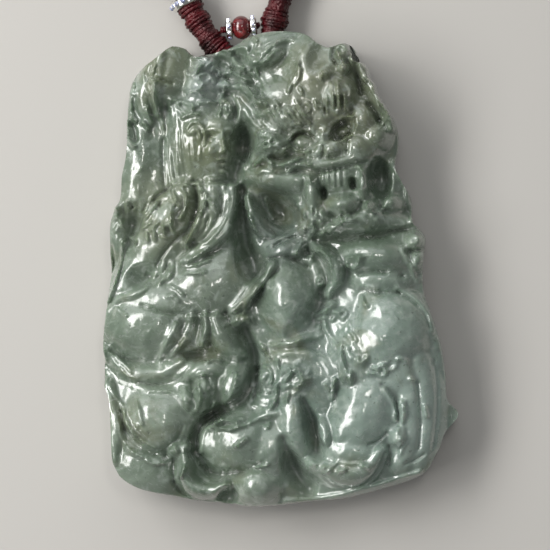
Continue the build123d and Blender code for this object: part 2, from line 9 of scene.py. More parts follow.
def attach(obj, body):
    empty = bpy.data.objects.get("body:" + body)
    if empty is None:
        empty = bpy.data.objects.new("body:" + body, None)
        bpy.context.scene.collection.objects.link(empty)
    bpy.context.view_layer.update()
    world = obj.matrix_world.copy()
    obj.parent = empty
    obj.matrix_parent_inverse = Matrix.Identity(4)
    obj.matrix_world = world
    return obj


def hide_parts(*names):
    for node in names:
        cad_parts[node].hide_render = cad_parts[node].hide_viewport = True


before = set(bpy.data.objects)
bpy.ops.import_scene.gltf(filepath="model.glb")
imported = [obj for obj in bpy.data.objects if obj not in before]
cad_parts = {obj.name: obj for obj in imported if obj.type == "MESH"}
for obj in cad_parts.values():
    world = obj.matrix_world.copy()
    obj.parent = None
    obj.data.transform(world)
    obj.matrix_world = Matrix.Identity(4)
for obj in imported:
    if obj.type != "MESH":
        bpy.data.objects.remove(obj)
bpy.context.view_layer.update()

# THE VIEW AND THE LIGHT
# The pendant lies on its flat back on a plain pale surface and is seen from almost straight above.
# Two tall window panes on its left give the polished stone its highlights, a pale wall beyond its
# top gives it a sheen, and a small lamp overhead adds a few sparks.
view_centre = Vector((-0.0006, -0.0009, 0.009))
view_side = 0.0779
view_distance = 0.42
view_lean = Vector((0.05, -0.02, 1.0)).normalized()
view_across = Vector((0, 1, 0)).cross(view_lean).normalized()

scene = bpy.context.scene
scene.view_settings.view_transform = "Standard"
view = bpy.data.objects.new("view", bpy.data.cameras.new("view"))
view.data.sensor_width = 36
view.data.lens = 36 * view_distance / view_side
view.data.clip_start = 0.01
view.data.clip_end = 10
view.location = view_centre + view_lean * view_distance
view.rotation_mode = "QUATERNION"
view.rotation_quaternion = Matrix(
    (view_across, view_lean.cross(view_across), view_lean)).transposed().to_quaternion()
scene.collection.objects.link(view)
scene.camera = view


def add_pane(name, middle, width, height, power, tint):
    """A flat rectangular light that faces the pendant."""
    lamp = bpy.data.lights.new(name, "AREA")
    lamp.shape = "RECTANGLE"
    lamp.size, lamp.size_y, lamp.energy, lamp.color = width, height, power, tint
    pane = bpy.data.objects.new(name, lamp)
    pane.location = middle
    pane.rotation_mode = "QUATERNION"
    pane.rotation_quaternion = (view_centre - Vector(middle)).to_track_quat("-Z", "Z")
    scene.collection.objects.link(pane)


add_pane("window_left_pane", (-0.37, 0.00, 0.35), 0.17, 0.40, 1.4, (1.0, 0.99, 0.97))
add_pane("window_right_pane", (-0.31, 0.20, 0.35), 0.17, 0.40, 1.4, (1.0, 0.99, 0.97))
add_pane("pale_wall", (-0.20, 0.75, 0.55), 1.4, 0.9, 3.4, (0.97, 0.99, 1.0))
add_pane("lamp_overhead", (0.10, 0.14, 0.62), 0.06, 0.12, 0.35, (1.0, 0.97, 0.93))

room = bpy.data.worlds.new("room")
room.use_nodes = True
room.node_tree.nodes["Background"].inputs["Color"].default_value = (0.96, 0.98, 1.0, 1)
room.node_tree.nodes["Background"].inputs["Strength"].default_value = 0.22
scene.world = room


def fill_in(node, inputs):
    """A node's inputs, each linked to another node's output or set to a plain value."""
    for key, value in inputs.items():
        if isinstance(value, bpy.types.NodeSocket):
            node.id_data.links.new(value, node.inputs[key])
        else:
            node.inputs[key].default_value = value


def add_node(nodes, kind, inputs=(), **settings):
    """A new node with its settings made and its inputs filled in."""
    node = nodes.new(kind)
    for key, value in settings.items():
        setattr(node, key, value)
    fill_in(node, dict(inputs))
    return node


def start_material(name, base_colour, roughness, **values):
    """A material with its shader's plain values set, and the nodes and shader for its pattern."""
    made = bpy.data.materials.new(name)
    made.use_nodes = True
    shader = made.node_tree.nodes["Principled BSDF"]
    fill_in(shader, {"Base Color": (*base_colour, 1), "Roughness": roughness})
    fill_in(shader, {socket.replace("_", " "): value for socket, value in values.items()})
    return made, made.node_tree.nodes, shader


floor_finish, nodes, shader = start_material("pale_floor", (0.51, 0.494, 0.467), 0.55)
floor_side = 3.0
half = floor_side / 2
floor_corners = [(-half, -half, 0), (half, -half, 0), (half, half, 0), (-half, half, 0)]
floor_mesh = bpy.data.meshes.new("floor")
floor_mesh.from_pydata(floor_corners, [], [(0, 1, 2, 3)])
floor_mesh.materials.append(floor_finish)
floor = bpy.data.objects.new("floor", floor_mesh)
scene.collection.objects.link(floor)

# THE NECK CORD
# A dark red core cord in one loop, wound over its whole length with thick glossy thread, goes
# through a tunnel in the jade's top edge and closes in a sleeve behind the wearer's neck.
core_diameter = 0.0016
winding_diameter = 0.0037
laid, ring_level, mouth_level, tunnel_level = 0.0019, 0.00245, 0.0028, 0.0033
cord_route = [
    (-0.0035, -0.0898, laid), (-0.0360, -0.0898, laid), (-0.0650, -0.0700, laid),
    (-0.0840, -0.0380, laid), (-0.0910, -0.0020, laid), (-0.0920, 0.0340, laid),
    (-0.0800, 0.0640, laid), (-0.0540, 0.0760, laid), (-0.0290, 0.0620, laid),
    (-0.0165, 0.0450, ring_level), (-0.0114, 0.0340, mouth_level), (-0.0057, 0.0285, tunnel_level),
    (-0.0022, 0.0300, tunnel_level), (-0.0008, 0.0368, mouth_level), (0.0030, 0.0500, ring_level),
    (0.0170, 0.0670, laid), (0.0440, 0.0760, laid), (0.0710, 0.0610, laid),
    (0.0870, 0.0310, laid), (0.0900, -0.0060, laid), (0.0820, -0.0420, laid),
    (0.0600, -0.0720, laid), (0.0290, -0.0898, laid), (-0.0030, -0.0898, laid),
]
tunnel_middle = Vector((-0.00395, 0.02925, tunnel_level))

core_finish, nodes, shader = start_material("core_thread", (0.075, 0.006, 0.011), 0.8)
cord_line = bpy.data.curves.new("neck_cord_core", "CURVE")
cord_line.dimensions = "3D"
spline = cord_line.splines.new("NURBS")
spline.points.add(len(cord_route) - 1)
for point, place in zip(spline.points, cord_route):
    point.co = (*place, 1)
spline.order_u = 3
spline.use_endpoint_u = True
spline.resolution_u = 24
core = bpy.data.objects.new("neck_cord_core", cord_line)
scene.collection.objects.link(core)
read_mesh = bpy.data.meshes.new_from_object(core.evaluated_get(bpy.context.evaluated_depsgraph_get()))
cord_points = [vertex.co.copy() for vertex in read_mesh.vertices]
cord_line.bevel_depth = core_diameter / 2
cord_line.bevel_resolution = 3
cord_line.use_fill_caps = True
cord_line.materials.append(core_finish)
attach(core, "root")

# The winding: one long thread laid turn against turn round the core, by hand, so a little uneven.
# Its two halves meet in the middle of the jade's tunnel and end at the closing sleeve.
thread_radius = 0.00031
turn_pitch = 0.00050
steps_per_turn = 14
thread_sides, bed_sides, bed_step = 6, 12, 0.0012
unevenness, slip_on_core = 0.0016, 0.0016
end_gap = 0.0002
sleeve_length = 0.010

winding_finish, nodes, shader = start_material(
    "winding_thread", (0.1, 0.008, 0.012), 0.26, Specular_IOR_Level=0.6, Specular_Tint=(1.0, 0.7, 0.7, 1))
place = add_node(nodes, "ShaderNodeTexCoord").outputs["Object"]
patches = add_node(nodes, "ShaderNodeTexNoise", {"Vector": place, "Scale": 420, "Detail": 3})
shades = add_node(nodes, "ShaderNodeValToRGB", {"Fac": patches.outputs["Fac"]})
darkest, reddest = shades.color_ramp.elements
darkest.position, darkest.color = 0.30, (0.011, 0.0008, 0.0014, 1)
reddest.position, reddest.color = 0.72, (0.102, 0.0026, 0.0066, 1)
fibres = add_node(nodes, "ShaderNodeTexNoise", {"Vector": place, "Scale": 2600, "Detail": 2})
raised = add_node(nodes, "ShaderNodeBump", {
    "Height": fibres.outputs["Fac"], "Strength": 1.0, "Distance": 0.0003})
fill_in(shader, {"Base Color": shades.outputs["Color"], "Normal": raised.outputs["Normal"]})


def start_tree(name, inputs):
    """A geometry tree with named inputs, what it is given and where its result goes."""
    tree = bpy.data.node_groups.new(name, "GeometryNodeTree")
    tree.interface.new_socket(name="Geometry", in_out="INPUT", socket_type="NodeSocketGeometry")
    for label, kind in inputs:
        tree.interface.new_socket(name=label, in_out="INPUT", socket_type=f"NodeSocket{kind}")
    tree.interface.new_socket(name="Geometry", in_out="OUTPUT", socket_type="NodeSocketGeometry")
    return tree, tree.nodes.new("NodeGroupInput").outputs, tree.nodes.new("NodeGroupOutput")


def formula(tree, operation, first, second=0.0):
    """A math node on links or plain numbers."""
    return add_node(tree.nodes, "ShaderNodeMath", {0: first, 1: second}, operation=operation).outputs[0]


def vector_formula(tree, operation, first, second):
    """A vector math node on two links, the second of them a number where it scales."""
    inputs = {0: first, "Scale" if operation == "SCALE" else 1: second}
    return add_node(tree.nodes, "ShaderNodeVectorMath", inputs, operation=operation).outputs[0]


def round_section(tree, radius, sides):
    """A circle to draw along a line."""
    circle = add_node(tree.nodes, "GeometryNodeCurvePrimitiveCircle", {"Resolution": sides, "Radius": radius})
    return circle.outputs["Curve"]


def drawn_along(tree, line, section):
    """A closed tube of a section along a line."""
    tube = add_node(tree.nodes, "GeometryNodeCurveToMesh", {
        "Curve": line, "Profile Curve": section, "Fill Caps": True})
    return tube.outputs["Mesh"]


def end_tree(tree, geometry, finish, result):
    """The two last steps of every tree: real geometry, and its material."""
    real = add_node(tree.nodes, "GeometryNodeRealizeInstances", {"Geometry": geometry})
    painted = add_node(tree.nodes, "GeometryNodeSetMaterial", {
        "Geometry": real.outputs["Geometry"], "Material": finish})
    fill_in(result, {"Geometry": painted.outputs["Geometry"]})


def made_by(tree, name, points, values):
    """The plain mesh piece that a tree makes from some points, joined in their order."""
    seed = bpy.data.meshes.new(name)
    seed.from_pydata(points, [(k, k + 1) for k in range(len(points) - 1)], [])
    piece = bpy.data.objects.new(name, seed)
    scene.collection.objects.link(piece)
    maker = piece.modifiers.new(name, "NODES")
    maker.node_group = tree
    for item in tree.interface.items_tree:
        if item.in_out == "INPUT" and item.name in values:
            maker[item.identifier] = values[item.name]
    grown = bpy.data.meshes.new_from_object(piece.evaluated_get(bpy.context.evaluated_depsgraph_get()))
    piece.modifiers.clear()
    piece.data = grown
    grown.name = name
    return piece


# The tree winds the thread as a helix round the line, on a plain bed that closes its gaps.
winding_tree, given, result = start_tree("thread_winding", [
    ("Winding Radius", "Float"), ("Thread Radius", "Float"), ("Turn Pitch", "Float"),
    ("Steps per Turn", "Int"), ("Unevenness", "Float"), ("Slip", "Float"), ("Thread", "Material"),
])
tree, steps = winding_tree, winding_tree.nodes
line = add_node(steps, "GeometryNodeMeshToCurve", {"Mesh": given["Geometry"]})
upright = add_node(steps, "GeometryNodeSetCurveNormal", {"Curve": line.outputs["Curve"]}, mode="Z_UP")
length = add_node(steps, "GeometryNodeCurveLength", {"Curve": upright.outputs["Curve"]})
turns = formula(tree, "DIVIDE", length.outputs["Length"], given["Turn Pitch"])
helix = add_node(steps, "GeometryNodeResampleCurve", {
    "Curve": upright.outputs["Curve"], "Count": formula(tree, "MULTIPLY", turns, given["Steps per Turn"])},
    mode="COUNT")
index = add_node(steps, "GeometryNodeInputIndex").outputs[0]
angle = formula(tree, "MULTIPLY", formula(tree, "DIVIDE", index, given["Steps per Turn"]), 2 * pi)
across = add_node(steps, "GeometryNodeInputNormal").outputs[0]
forward = add_node(steps, "GeometryNodeInputTangent").outputs[0]
side = vector_formula(tree, "CROSS_PRODUCT", forward, across)
bumps = add_node(steps, "ShaderNodeTexNoise", {"Scale": 800, "Detail": 2}).outputs[0]
slips = add_node(steps, "ShaderNodeTexNoise", {"Scale": 700, "Detail": 2}).outputs[0]
uneven = formula(tree, "MULTIPLY", formula(tree, "SUBTRACT", bumps, 0.5), given["Unevenness"])
slip = formula(tree, "MULTIPLY", formula(tree, "SUBTRACT", slips, 0.5), given["Slip"])
reach = formula(tree, "ADD", given["Winding Radius"], uneven)
out = vector_formula(tree, "ADD",
    vector_formula(tree, "SCALE", across, formula(tree, "MULTIPLY", formula(tree, "COSINE", angle), reach)),
    vector_formula(tree, "SCALE", side, formula(tree, "MULTIPLY", formula(tree, "SINE", angle), reach)))
out = vector_formula(tree, "ADD", out, vector_formula(tree, "SCALE", forward, slip))
wound = add_node(steps, "GeometryNodeSetPosition", {"Geometry": helix.outputs["Curve"], "Offset": out})
thread = drawn_along(
    tree, wound.outputs["Geometry"], round_section(tree, given["Thread Radius"], thread_sides))
coarse = add_node(steps, "GeometryNodeResampleCurve", {
    "Curve": upright.outputs["Curve"], "Length": bed_step}, mode="LENGTH")
bed = drawn_along(tree, coarse.outputs["Curve"], round_section(tree, given["Winding Radius"], bed_sides))
both = add_node(steps, "GeometryNodeJoinGeometry", {"Geometry": thread})
fill_in(both, {"Geometry": bed})
smooth = add_node(steps, "GeometryNodeSetShadeSmooth", {"Geometry": both.outputs["Geometry"]})
end_tree(tree, smooth.outputs["Geometry"], given["Thread"], result)

near_tunnel = min(range(len(cord_points)), key=lambda k: (cord_points[k] - tunnel_middle).length)
sleeve_middle = (cord_route[0][0] + cord_route[-1][0]) / 2
sleeve_side = cord_route[0][1] + 0.0001
half_sleeve = sleeve_length / 2 + end_gap


def clear_of_sleeve(points, side):
    """The points of the cord's line that are outside the closing sleeve, on one side of its middle."""
    return [p for p in points if p.y > sleeve_side or side * (p.x - sleeve_middle) > half_sleeve]


for name, line_points in (
    ("cord_winding_left_thread", clear_of_sleeve(cord_points[:near_tunnel], -1)),
    ("cord_winding_right_thread", clear_of_sleeve(cord_points[near_tunnel + 1:], 1)),
):
    winding = made_by(winding_tree, name, line_points, {
        "Winding Radius": winding_diameter / 2 - thread_radius, "Thread Radius": thread_radius,
        "Turn Pitch": turn_pitch, "Steps per Turn": steps_per_turn, "Unevenness": unevenness,
        "Slip": slip_on_core, "Thread": winding_finish})
    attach(winding, "root")
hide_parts("neck_cord")
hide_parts("cord_winding_left")
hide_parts("cord_winding_right")

# THE JADE
# One slab of polished grey-green jadeite, ground flat at the back and carved in high relief on its
# front: the seated figure on the left, the guardian beast on the right, rocks and waves below.
slab_width, slab_height, jade_thickness = 0.0506, 0.0676, 0.0155
rim_height, rim_roll, back_bevel = 0.0067, 0.0023, 0.0009
tunnel_radius, tunnel_reach, drill_sides = 0.0021, 0.011, 24
grid_columns, grid_rows = 248, 330
line_steps = 6
polish_passes, hollow_passes = 2, 60
wave_height, wave_length = 1.1, 3.4

# The chart: squares across from the middle line, squares up from the foot, heights in hundredths
# of the thickness. The outline runs along the foot, the right side, the top and the left side.
foot_line = [
    (-33.8, 6.9), (-31.8, 5.3), (-28.5, 3.8), (-21.9, 2.5), (-16.9, 1.7), (-10.4, 1.1), (-6.8, 0.5),
    (-0.5, 0.8), (5.8, 1.6), (13.7, 2.4), (23.3, 4.9), (28.6, 6.8), (30.9, 8.6),
]
right_line_up = [
    (30.9, 8.6), (32.2, 11.2), (33.2, 13.0), (34.4, 16.2), (37.0, 19.8), (34.8, 22.9), (34.4, 28.0),
    (33.3, 35.0), (31.3, 41.3), (29.8, 46.2), (29.9, 52.5), (30.3, 56.5), (28.9, 58.6), (27.6, 60.2),
    (27.2, 64.8), (25.2, 68.8), (24.0, 71.6), (24.6, 75.5), (24.4, 79.5), (22.6, 83.6), (20.7, 86.4),
    (20.1, 88.6), (18.9, 90.0), (18.4, 92.2), (17.2, 93.2),
]
top_line = [
    (-28.4, 92.7), (-26.0, 94.5), (-24.0, 96.1), (-22.5, 96.9), (-20.2, 96.5), (-18.9, 95.3),
    (-17.3, 94.8), (-14.4, 95.4), (-10.2, 96.8), (-6.2, 99.0), (-1.7, 99.9), (3.3, 99.7), (5.9, 98.9),
    (8.1, 97.3), (9.8, 96.5), (11.2, 96.8), (12.8, 97.3), (14.2, 97.1), (15.1, 95.5), (15.7, 93.8),
    (17.2, 93.2),
]
left_line_up = [
    (-33.8, 6.9), (-35.3, 10.2), (-35.6, 16.0), (-36.0, 22.5), (-37.1, 26.0), (-37.1, 31.0),
    (-37.5, 35.0), (-36.8, 41.0), (-35.7, 49.0), (-36.0, 54.0), (-36.0, 59.2), (-35.0, 62.6),
    (-33.8, 65.0), (-33.4, 69.5), (-32.4, 74.5), (-32.3, 81.0), (-31.9, 86.0), (-30.9, 90.0),
    (-28.4, 92.7),
]

# How the forms meet: the ground under all of them, how much the creases between them are filled,
# where the relief starts, and where pits and ridges end, in half widths
ground_height = 46
mass_fillet, dome_fillet, roll_fillet = 12.0, 2.5, 2.0
lowest_relief, pit_reach, ridge_reach = -7.0, 1.25, 1.15

# Broad masses that everything is carved on: name, middle across, middle up, half width, half
# height, turn in degrees, top, fall to its edge
masses = [
    ("left border", -30.0, 74.0, 8.0, 24.0, 2, 58, 8),
    ("tall ridge", -24.6, 88.6, 4.8, 9.4, 4, 66, 12),
    ("figure's head", -16.6, 80.0, 7.6, 17.0, 4, 68, 12),
    ("figure's trunk", -16.0, 56.0, 13.0, 15.0, 0, 68, 12),
    ("lap", -17.0, 41.0, 21.0, 12.0, 2, 72, 16),
    ("beast's head", 6.4, 82.0, 18.0, 19.0, -6, 82, 20),
    ("beast's mouth", 12.0, 66.0, 12.0, 10.0, 0, 80, 18),
    ("beast's shoulder", 19.0, 52.0, 12.0, 9.0, -4, 72, 16),
    ("raised leg", 1.6, 42.0, 9.0, 14.0, 14, 76, 18),
    ("beast's body", 19.0, 32.0, 15.0, 18.0, 0, 76, 20),
    ("clouds on the left", -25.0, 17.0, 15.0, 14.0, 0, 66, 14),
    ("feet", -14.0, 26.0, 11.0, 9.0, 0, 70, 14),
    ("waves in the middle", -6.0, 12.0, 14.0, 12.0, 6, 68, 14),
    ("middle fold", 3.2, 22.0, 7.0, 14.0, 0, 68, 14),
    ("beast's leg", 16.0, 15.0, 13.0, 12.0, 0, 74, 18),
    ("tail", 27.6, 20.0, 6.0, 15.0, 0, 62, 12),
]

# Pits: name, middle across, middle up, half width, half height, turn in degrees, depth
hollows = [
    ("behind the beast's cheek", -8.0, 76.2, 2.3, 4.4, -8, 24),
    ("right of the face", -9.6, 71.0, 1.6, 3.0, 0, 8),
    ("under the jaw", 0.2, 62.4, 5.0, 3.2, -38, 26),
    ("right of the mouth", 20.8, 68.9, 2.2, 3.9, 4, 24),
    ("right eye", 12.7, 78.9, 2.8, 1.7, 28, 14),
    ("left eye", 5.1, 76.3, 3.5, 2.5, 0, 9),
    ("mouth", 12.0, 67.6, 4.1, 3.4, 2, 6),
    ("under the pleats", -17.0, 32.2, 3.4, 1.2, 4, 12),
    ("over the wave", -14.2, 19.6, 3.0, 1.3, 34, 12),
    ("left of the ball", -11.0, 2.6, 2.0, 2.2, 0, 12),
    ("under the sleeve", -28.6, 48.6, 3.4, 2.4, 10, 10),
    ("behind the fringe", 8.2, 94.0, 2.2, 3.4, -20, 6),
]

# Valleys: name, middle line, half widths and depths at its start, middle and end
valleys = [
    ("beside the chest and belly", [(-8.1, 67.0), (-8.2, 61.0), (-7.6, 55.4), (-5.8, 50.0)],
        (1.0, 2.0, 2.8), (7, 14, 25)),
    ("beside the column", [(-30.6, 63.4), (-30.8, 59.6), (-31.6, 55.6)], (1.2, 1.6, 1.0), (6, 11, 6)),
    ("right of the raised knee", [(8.6, 45.0), (7.2, 41.6), (4.8, 38.2), (2.6, 36.8)],
        (1.4, 2.2, 1.6), (8, 15, 8)),
    ("between the feet and the paw", [(-7.4, 37.4), (-5.8, 33.0), (-5.8, 28.0), (-8.4, 23.0),
        (-13.4, 20.2), (-17.0, 17.4), (-18.4, 12.0)],
        (1.1, 1.3, 1.3), (8, 12, 13)),
    ("under the wave", [(-16.8, 10.8), (-15.0, 8.0), (-11.4, 7.0), (-8.2, 8.2)],
        (1.2, 1.5, 1.1), (8, 10, 6)),
    ("between the rocks", [(0.8, 14.6), (1.8, 11.0), (3.2, 7.4), (5.6, 4.8)],
        (1.2, 2.2, 2.0), (8, 20, 12)),
    ("under the leg", [(4.9, 22.8), (5.9, 19.4), (6.9, 15.6), (7.6, 12.0)],
        (0.9, 1.7, 1.8), (7, 16, 10)),
]

# Forms raised on the masses: name, middle across, middle up, half width, half height, turn in
# degrees, rise
domes = [
    ("scroll at the left edge", -30.6, 78.4, 1.9, 3.4, 4, 7),
    ("panel", -28.4, 72.0, 6.6, 12.0, 2, 8),
    ("leaf at the left edge", -34.4, 57.6, 2.3, 5.4, 2, 9),
    ("bud on the leaf", -34.3, 62.7, 1.3, 1.3, 0, 7),
    ("headdress top", -15.9, 92.9, 2.7, 2.4, 0, 9),
    ("headdress", -16.6, 88.6, 3.7, 3.6, 0, 10),
    ("head", -17.2, 77.4, 5.9, 8.6, 0, 9),
    ("face", -13.0, 76.0, 4.4, 7.6, -2, 15),
    ("side lock", -21.4, 76.6, 1.8, 8.4, 0, 7),
    ("loop of hair", -11.2, 83.4, 1.6, 2.3, 6, 9),
    ("belly", -14.2, 47.6, 9.6, 6.4, 10, 11),
    ("thigh", -24.4, 43.6, 11.0, 3.6, -8, 8),
    ("folded knee", -28.6, 37.8, 9.2, 7.0, -6, 15),
    ("raised knee", 1.4, 43.2, 6.0, 9.4, 16, 18),
    ("hand", 1.0, 54.8, 4.2, 2.6, 4, 9),
    ("cloud, lower left", -26.0, 18.4, 6.9, 6.6, 0, 13),
    ("foot of the cloud", -29.0, 7.6, 7.4, 4.8, -24, 8),
    ("small knob", -21.6, 12.6, 2.1, 1.8, 0, 8),
    ("wave, middle", -8.2, 14.9, 8.4, 6.8, 12, 17),
    ("wave, right", -2.0, 13.6, 5.2, 5.8, 0, 12),
    ("ball", -4.6, 4.6, 5.2, 4.6, -4, 18),
    ("forehead ball", 7.4, 91.4, 5.4, 8.4, 4, 8),
    ("foot of the forehead", 3.0, 85.4, 6.0, 3.0, 0, 4),
    ("ear", -3.2, 94.6, 4.4, 2.2, 24, 7),
    ("crown", -5.0, 97.6, 6.0, 1.9, 14, 5),
    ("fringe", 12.2, 86.0, 4.0, 5.0, 0, 15),
    ("fringe, left knob", 9.6, 90.4, 1.6, 1.5, 0, 20),
    ("fringe, right knob", 13.2, 91.6, 1.8, 1.7, 0, 19),
    ("top tuft", 13.0, 94.9, 1.9, 2.5, 6, 13),
    ("right temple", 17.2, 81.0, 2.6, 2.9, 10, 5),
    ("right cheek", 20.4, 77.4, 3.1, 2.9, 0, 12),
    ("brow", 8.0, 81.0, 3.2, 3.0, 0, 7),
    ("left eyeball", 5.2, 76.2, 2.5, 1.8, 0, 9),
    ("right eyeball", 12.9, 78.7, 1.6, 1.0, 28, 7),
    ("nose", 7.8, 74.5, 2.4, 1.9, -10, 11),
    ("nose, right", 10.9, 74.7, 2.9, 2.1, 6, 13),
    ("bridge of the nose", 9.4, 77.8, 1.9, 3.0, 0, 9),
    ("right muzzle", 16.4, 74.4, 4.4, 3.4, 14, 8),
    ("cheek curls", -1.8, 75.8, 3.4, 2.8, -12, 8),
    ("jaw", 0.4, 68.6, 8.0, 2.5, -6, 11),
    ("left post of the mouth", 6.6, 65.6, 1.9, 4.9, 4, 11),
    ("right post of the mouth", 17.3, 68.2, 1.3, 4.0, 0, 10),
    ("teeth", 11.6, 68.9, 4.0, 2.6, 2, 10),
    ("chin", 13.1, 63.4, 3.8, 2.4, 2, 14),
    ("beard", 6.8, 60.0, 3.4, 2.8, 0, 7),
    ("small ball, right", 23.4, 63.5, 2.4, 2.1, 0, 11),
    ("small ball, left", 18.8, 62.7, 1.9, 1.7, 0, 9),
    ("knob at the right edge", 28.2, 56.0, 2.4, 2.3, 0, 14),
    ("under the knob", 28.6, 52.0, 1.6, 2.2, -10, 8),
    ("shoulder", 20.2, 52.8, 7.4, 3.5, -4, 12),
    ("second band", 21.0, 47.4, 5.4, 2.1, -5, 6),
    ("haunch", 22.4, 36.0, 10.4, 8.2, 28, 19),
    ("upper haunch", 24.0, 40.6, 8.0, 6.2, -24, 15),
    ("front of the leg", 15.4, 30.4, 5.0, 6.4, 0, 9),
    ("lower haunch", 24.6, 28.4, 4.6, 3.4, -60, 7),
    ("beast's thigh", 17.0, 20.2, 7.6, 10.0, -27, 18),
    ("toes over the paw", 14.8, 12.0, 6.4, 3.2, -4, 10),
    ("lobe on the tail", 24.6, 15.6, 2.2, 3.2, 6, 12),
    ("small lobe", 9.2, 16.2, 1.6, 4.0, 10, 11),
    ("swirl", 3.6, 27.6, 8.4, 6.6, -10, 11),
    ("tongue of the fold", 2.9, 18.4, 4.4, 9.4, 4, 14),
    ("right lobe of the fold", 7.2, 24.6, 2.8, 4.6, 22, 6),
    ("scroll, upper", -3.2, 27.8, 1.7, 2.7, 0, 9),
    ("scroll, lower", -2.8, 23.4, 2.4, 1.9, -10, 9),
    ("bank over the wave", -2.6, 20.0, 4.6, 1.7, 16, 6),
    ("paw", -9.6, 26.2, 3.0, 5.0, -16, 15),
    ("first toe", -15.8, 24.6, 2.3, 4.2, -12, 12),
    ("second toe", -19.2, 22.6, 1.5, 3.0, 24, 10),
    ("over the toes", -16.6, 29.2, 5.0, 1.9, 8, 6),
    ("top of the hand", -8.4, 39.6, 1.9, 1.4, 20, 9),
]

# Longer forms: name, middle line, half widths and rises at its start, middle and end
rolls = [
    ("tall ridge", [(-24.9, 95.0), (-25.5, 91.4), (-25.9, 87.0), (-25.9, 82.4)],
        (2.4, 2.6, 0.9), (13, 12, 6)),
    ("tall ridge, right side", [(-23.2, 95.0), (-23.9, 91.2), (-24.6, 87.0)],
        (4.2, 4.4, 2.4), (8, 7, 5)),
    ("second ridge", [(-27.2, 92.2), (-29.0, 88.0), (-28.8, 84.0), (-27.4, 80.6)],
        (1.8, 2.4, 1.0), (10, 10, 6)),
    ("column", [(-28.7, 80.0), (-29.1, 75.0), (-29.6, 70.0), (-30.6, 64.6)],
        (2.0, 4.3, 3.6), (6, 12, 10)),
    ("sleeve", [(-20.4, 66.6), (-22.8, 62.0), (-26.4, 56.6), (-30.2, 51.0), (-34.0, 46.4)],
        (3.2, 5.6, 2.8), (12, 14, 7)),
    ("lapel", [(-16.9, 67.2), (-16.2, 64.4), (-16.4, 61.4), (-18.0, 57.8), (-19.6, 55.2)],
        (1.2, 1.3, 0.9), (11, 11, 8)),
    ("chest", [(-13.9, 67.4), (-13.7, 63.6), (-14.8, 60.0), (-17.4, 56.8)], (2.6, 2.4, 1.2), (9, 9, 6)),
    ("robe band", [(-9.9, 67.2), (-9.5, 62.6), (-10.9, 58.6), (-13.6, 55.6), (-17.4, 52.6), (-20.4, 51.2)],
        (1.3, 1.7, 0.9), (9, 11, 7)),
    ("far sleeve", [(-6.9, 65.2), (-5.6, 61.2), (-4.0, 58.4), (-1.8, 57.0)],
        (0.9, 1.9, 0.9), (8, 10, 8)),
    ("forearm", [(-1.8, 50.6), (-5.6, 46.2), (-9.6, 41.6)], (1.9, 2.0, 1.4), (14, 14, 10)),
    ("pleat 4", [(-15.4, 40.6), (-15.2, 37.6), (-16.2, 34.4)], (1.1, 1.3, 1.0), (13, 13, 9)),
    ("foot", [(-13.4, 39.8), (-12.2, 36.6), (-10.0, 33.4), (-8.6, 32.4)], (2.0, 3.1, 1.8), (13, 16, 13)),
    ("upper hem", [(-36.4, 32.8), (-33.0, 29.4), (-29.0, 28.4), (-24.6, 28.8), (-20.6, 30.8)],
        (1.2, 1.7, 1.1), (4, 6, 6)),
    ("left strip", [(-36.6, 26.0), (-35.3, 20.6), (-34.8, 15.0), (-34.6, 10.2)],
        (1.2, 1.4, 1.4), (4, 5, 6)),
    ("curled wave", [(-19.6, 12.8), (-19.8, 9.6), (-19.6, 6.4), (-17.4, 4.2), (-14.2, 3.9), (-11.6, 5.2)],
        (1.5, 2.2, 1.2), (10, 13, 8)),
    ("hooked band", [(7.2, 54.6), (9.6, 53.2), (11.5, 50.6), (11.5, 47.6), (9.8, 45.0)],
        (1.5, 2.0, 1.1), (14, 19, 9)),
    ("mane lock 3", [(-12.4, 88.6), (-9.8, 88.2), (-7.4, 87.5), (-5.6, 85.8), (-3.8, 84.0), (-1.2, 83.4)],
        (1.0, 1.5, 0.9), (10, 12, 9)),
    ("right lock", [(15.2, 93.6), (18.0, 90.2), (20.2, 86.2), (22.2, 82.6), (23.2, 79.2)],
        (1.3, 1.9, 1.1), (12, 13, 9)),
    ("brow band", [(-2.4, 82.8), (1.4, 81.5), (5.0, 81.7), (8.0, 82.8)], (1.7, 2.5, 1.6), (6, 8, 6)),
    ("upper lip", [(-1.4, 71.4), (3.2, 72.0), (7.4, 71.4), (11.4, 72.0), (15.2, 72.9), (19.0, 74.0)],
        (0.9, 1.6, 1.0), (6, 9, 5)),
    ("collar", [(9.0, 57.4), (13.6, 59.3), (19.0, 60.0), (24.4, 60.4), (27.2, 60.0)],
        (1.3, 2.6, 1.4), (10, 13, 7)),
    ("hind paw", [(6.8, 9.6), (10.4, 8.0), (14.4, 7.4), (18.2, 8.6), (20.6, 12.0)],
        (2.4, 3.2, 1.8), (12, 14, 9)),
    ("tail lock", [(25.6, 31.0), (26.9, 25.6), (27.2, 19.6), (26.8, 14.0), (25.6, 9.6)],
        (1.8, 2.9, 2.4), (4, 6, 5)),
    ("outer tail lock", [(28.6, 31.0), (30.4, 26.0), (30.8, 19.6), (30.3, 14.0), (28.8, 10.2)],
        (1.4, 2.6, 1.8), (2, 3, 2)),
]

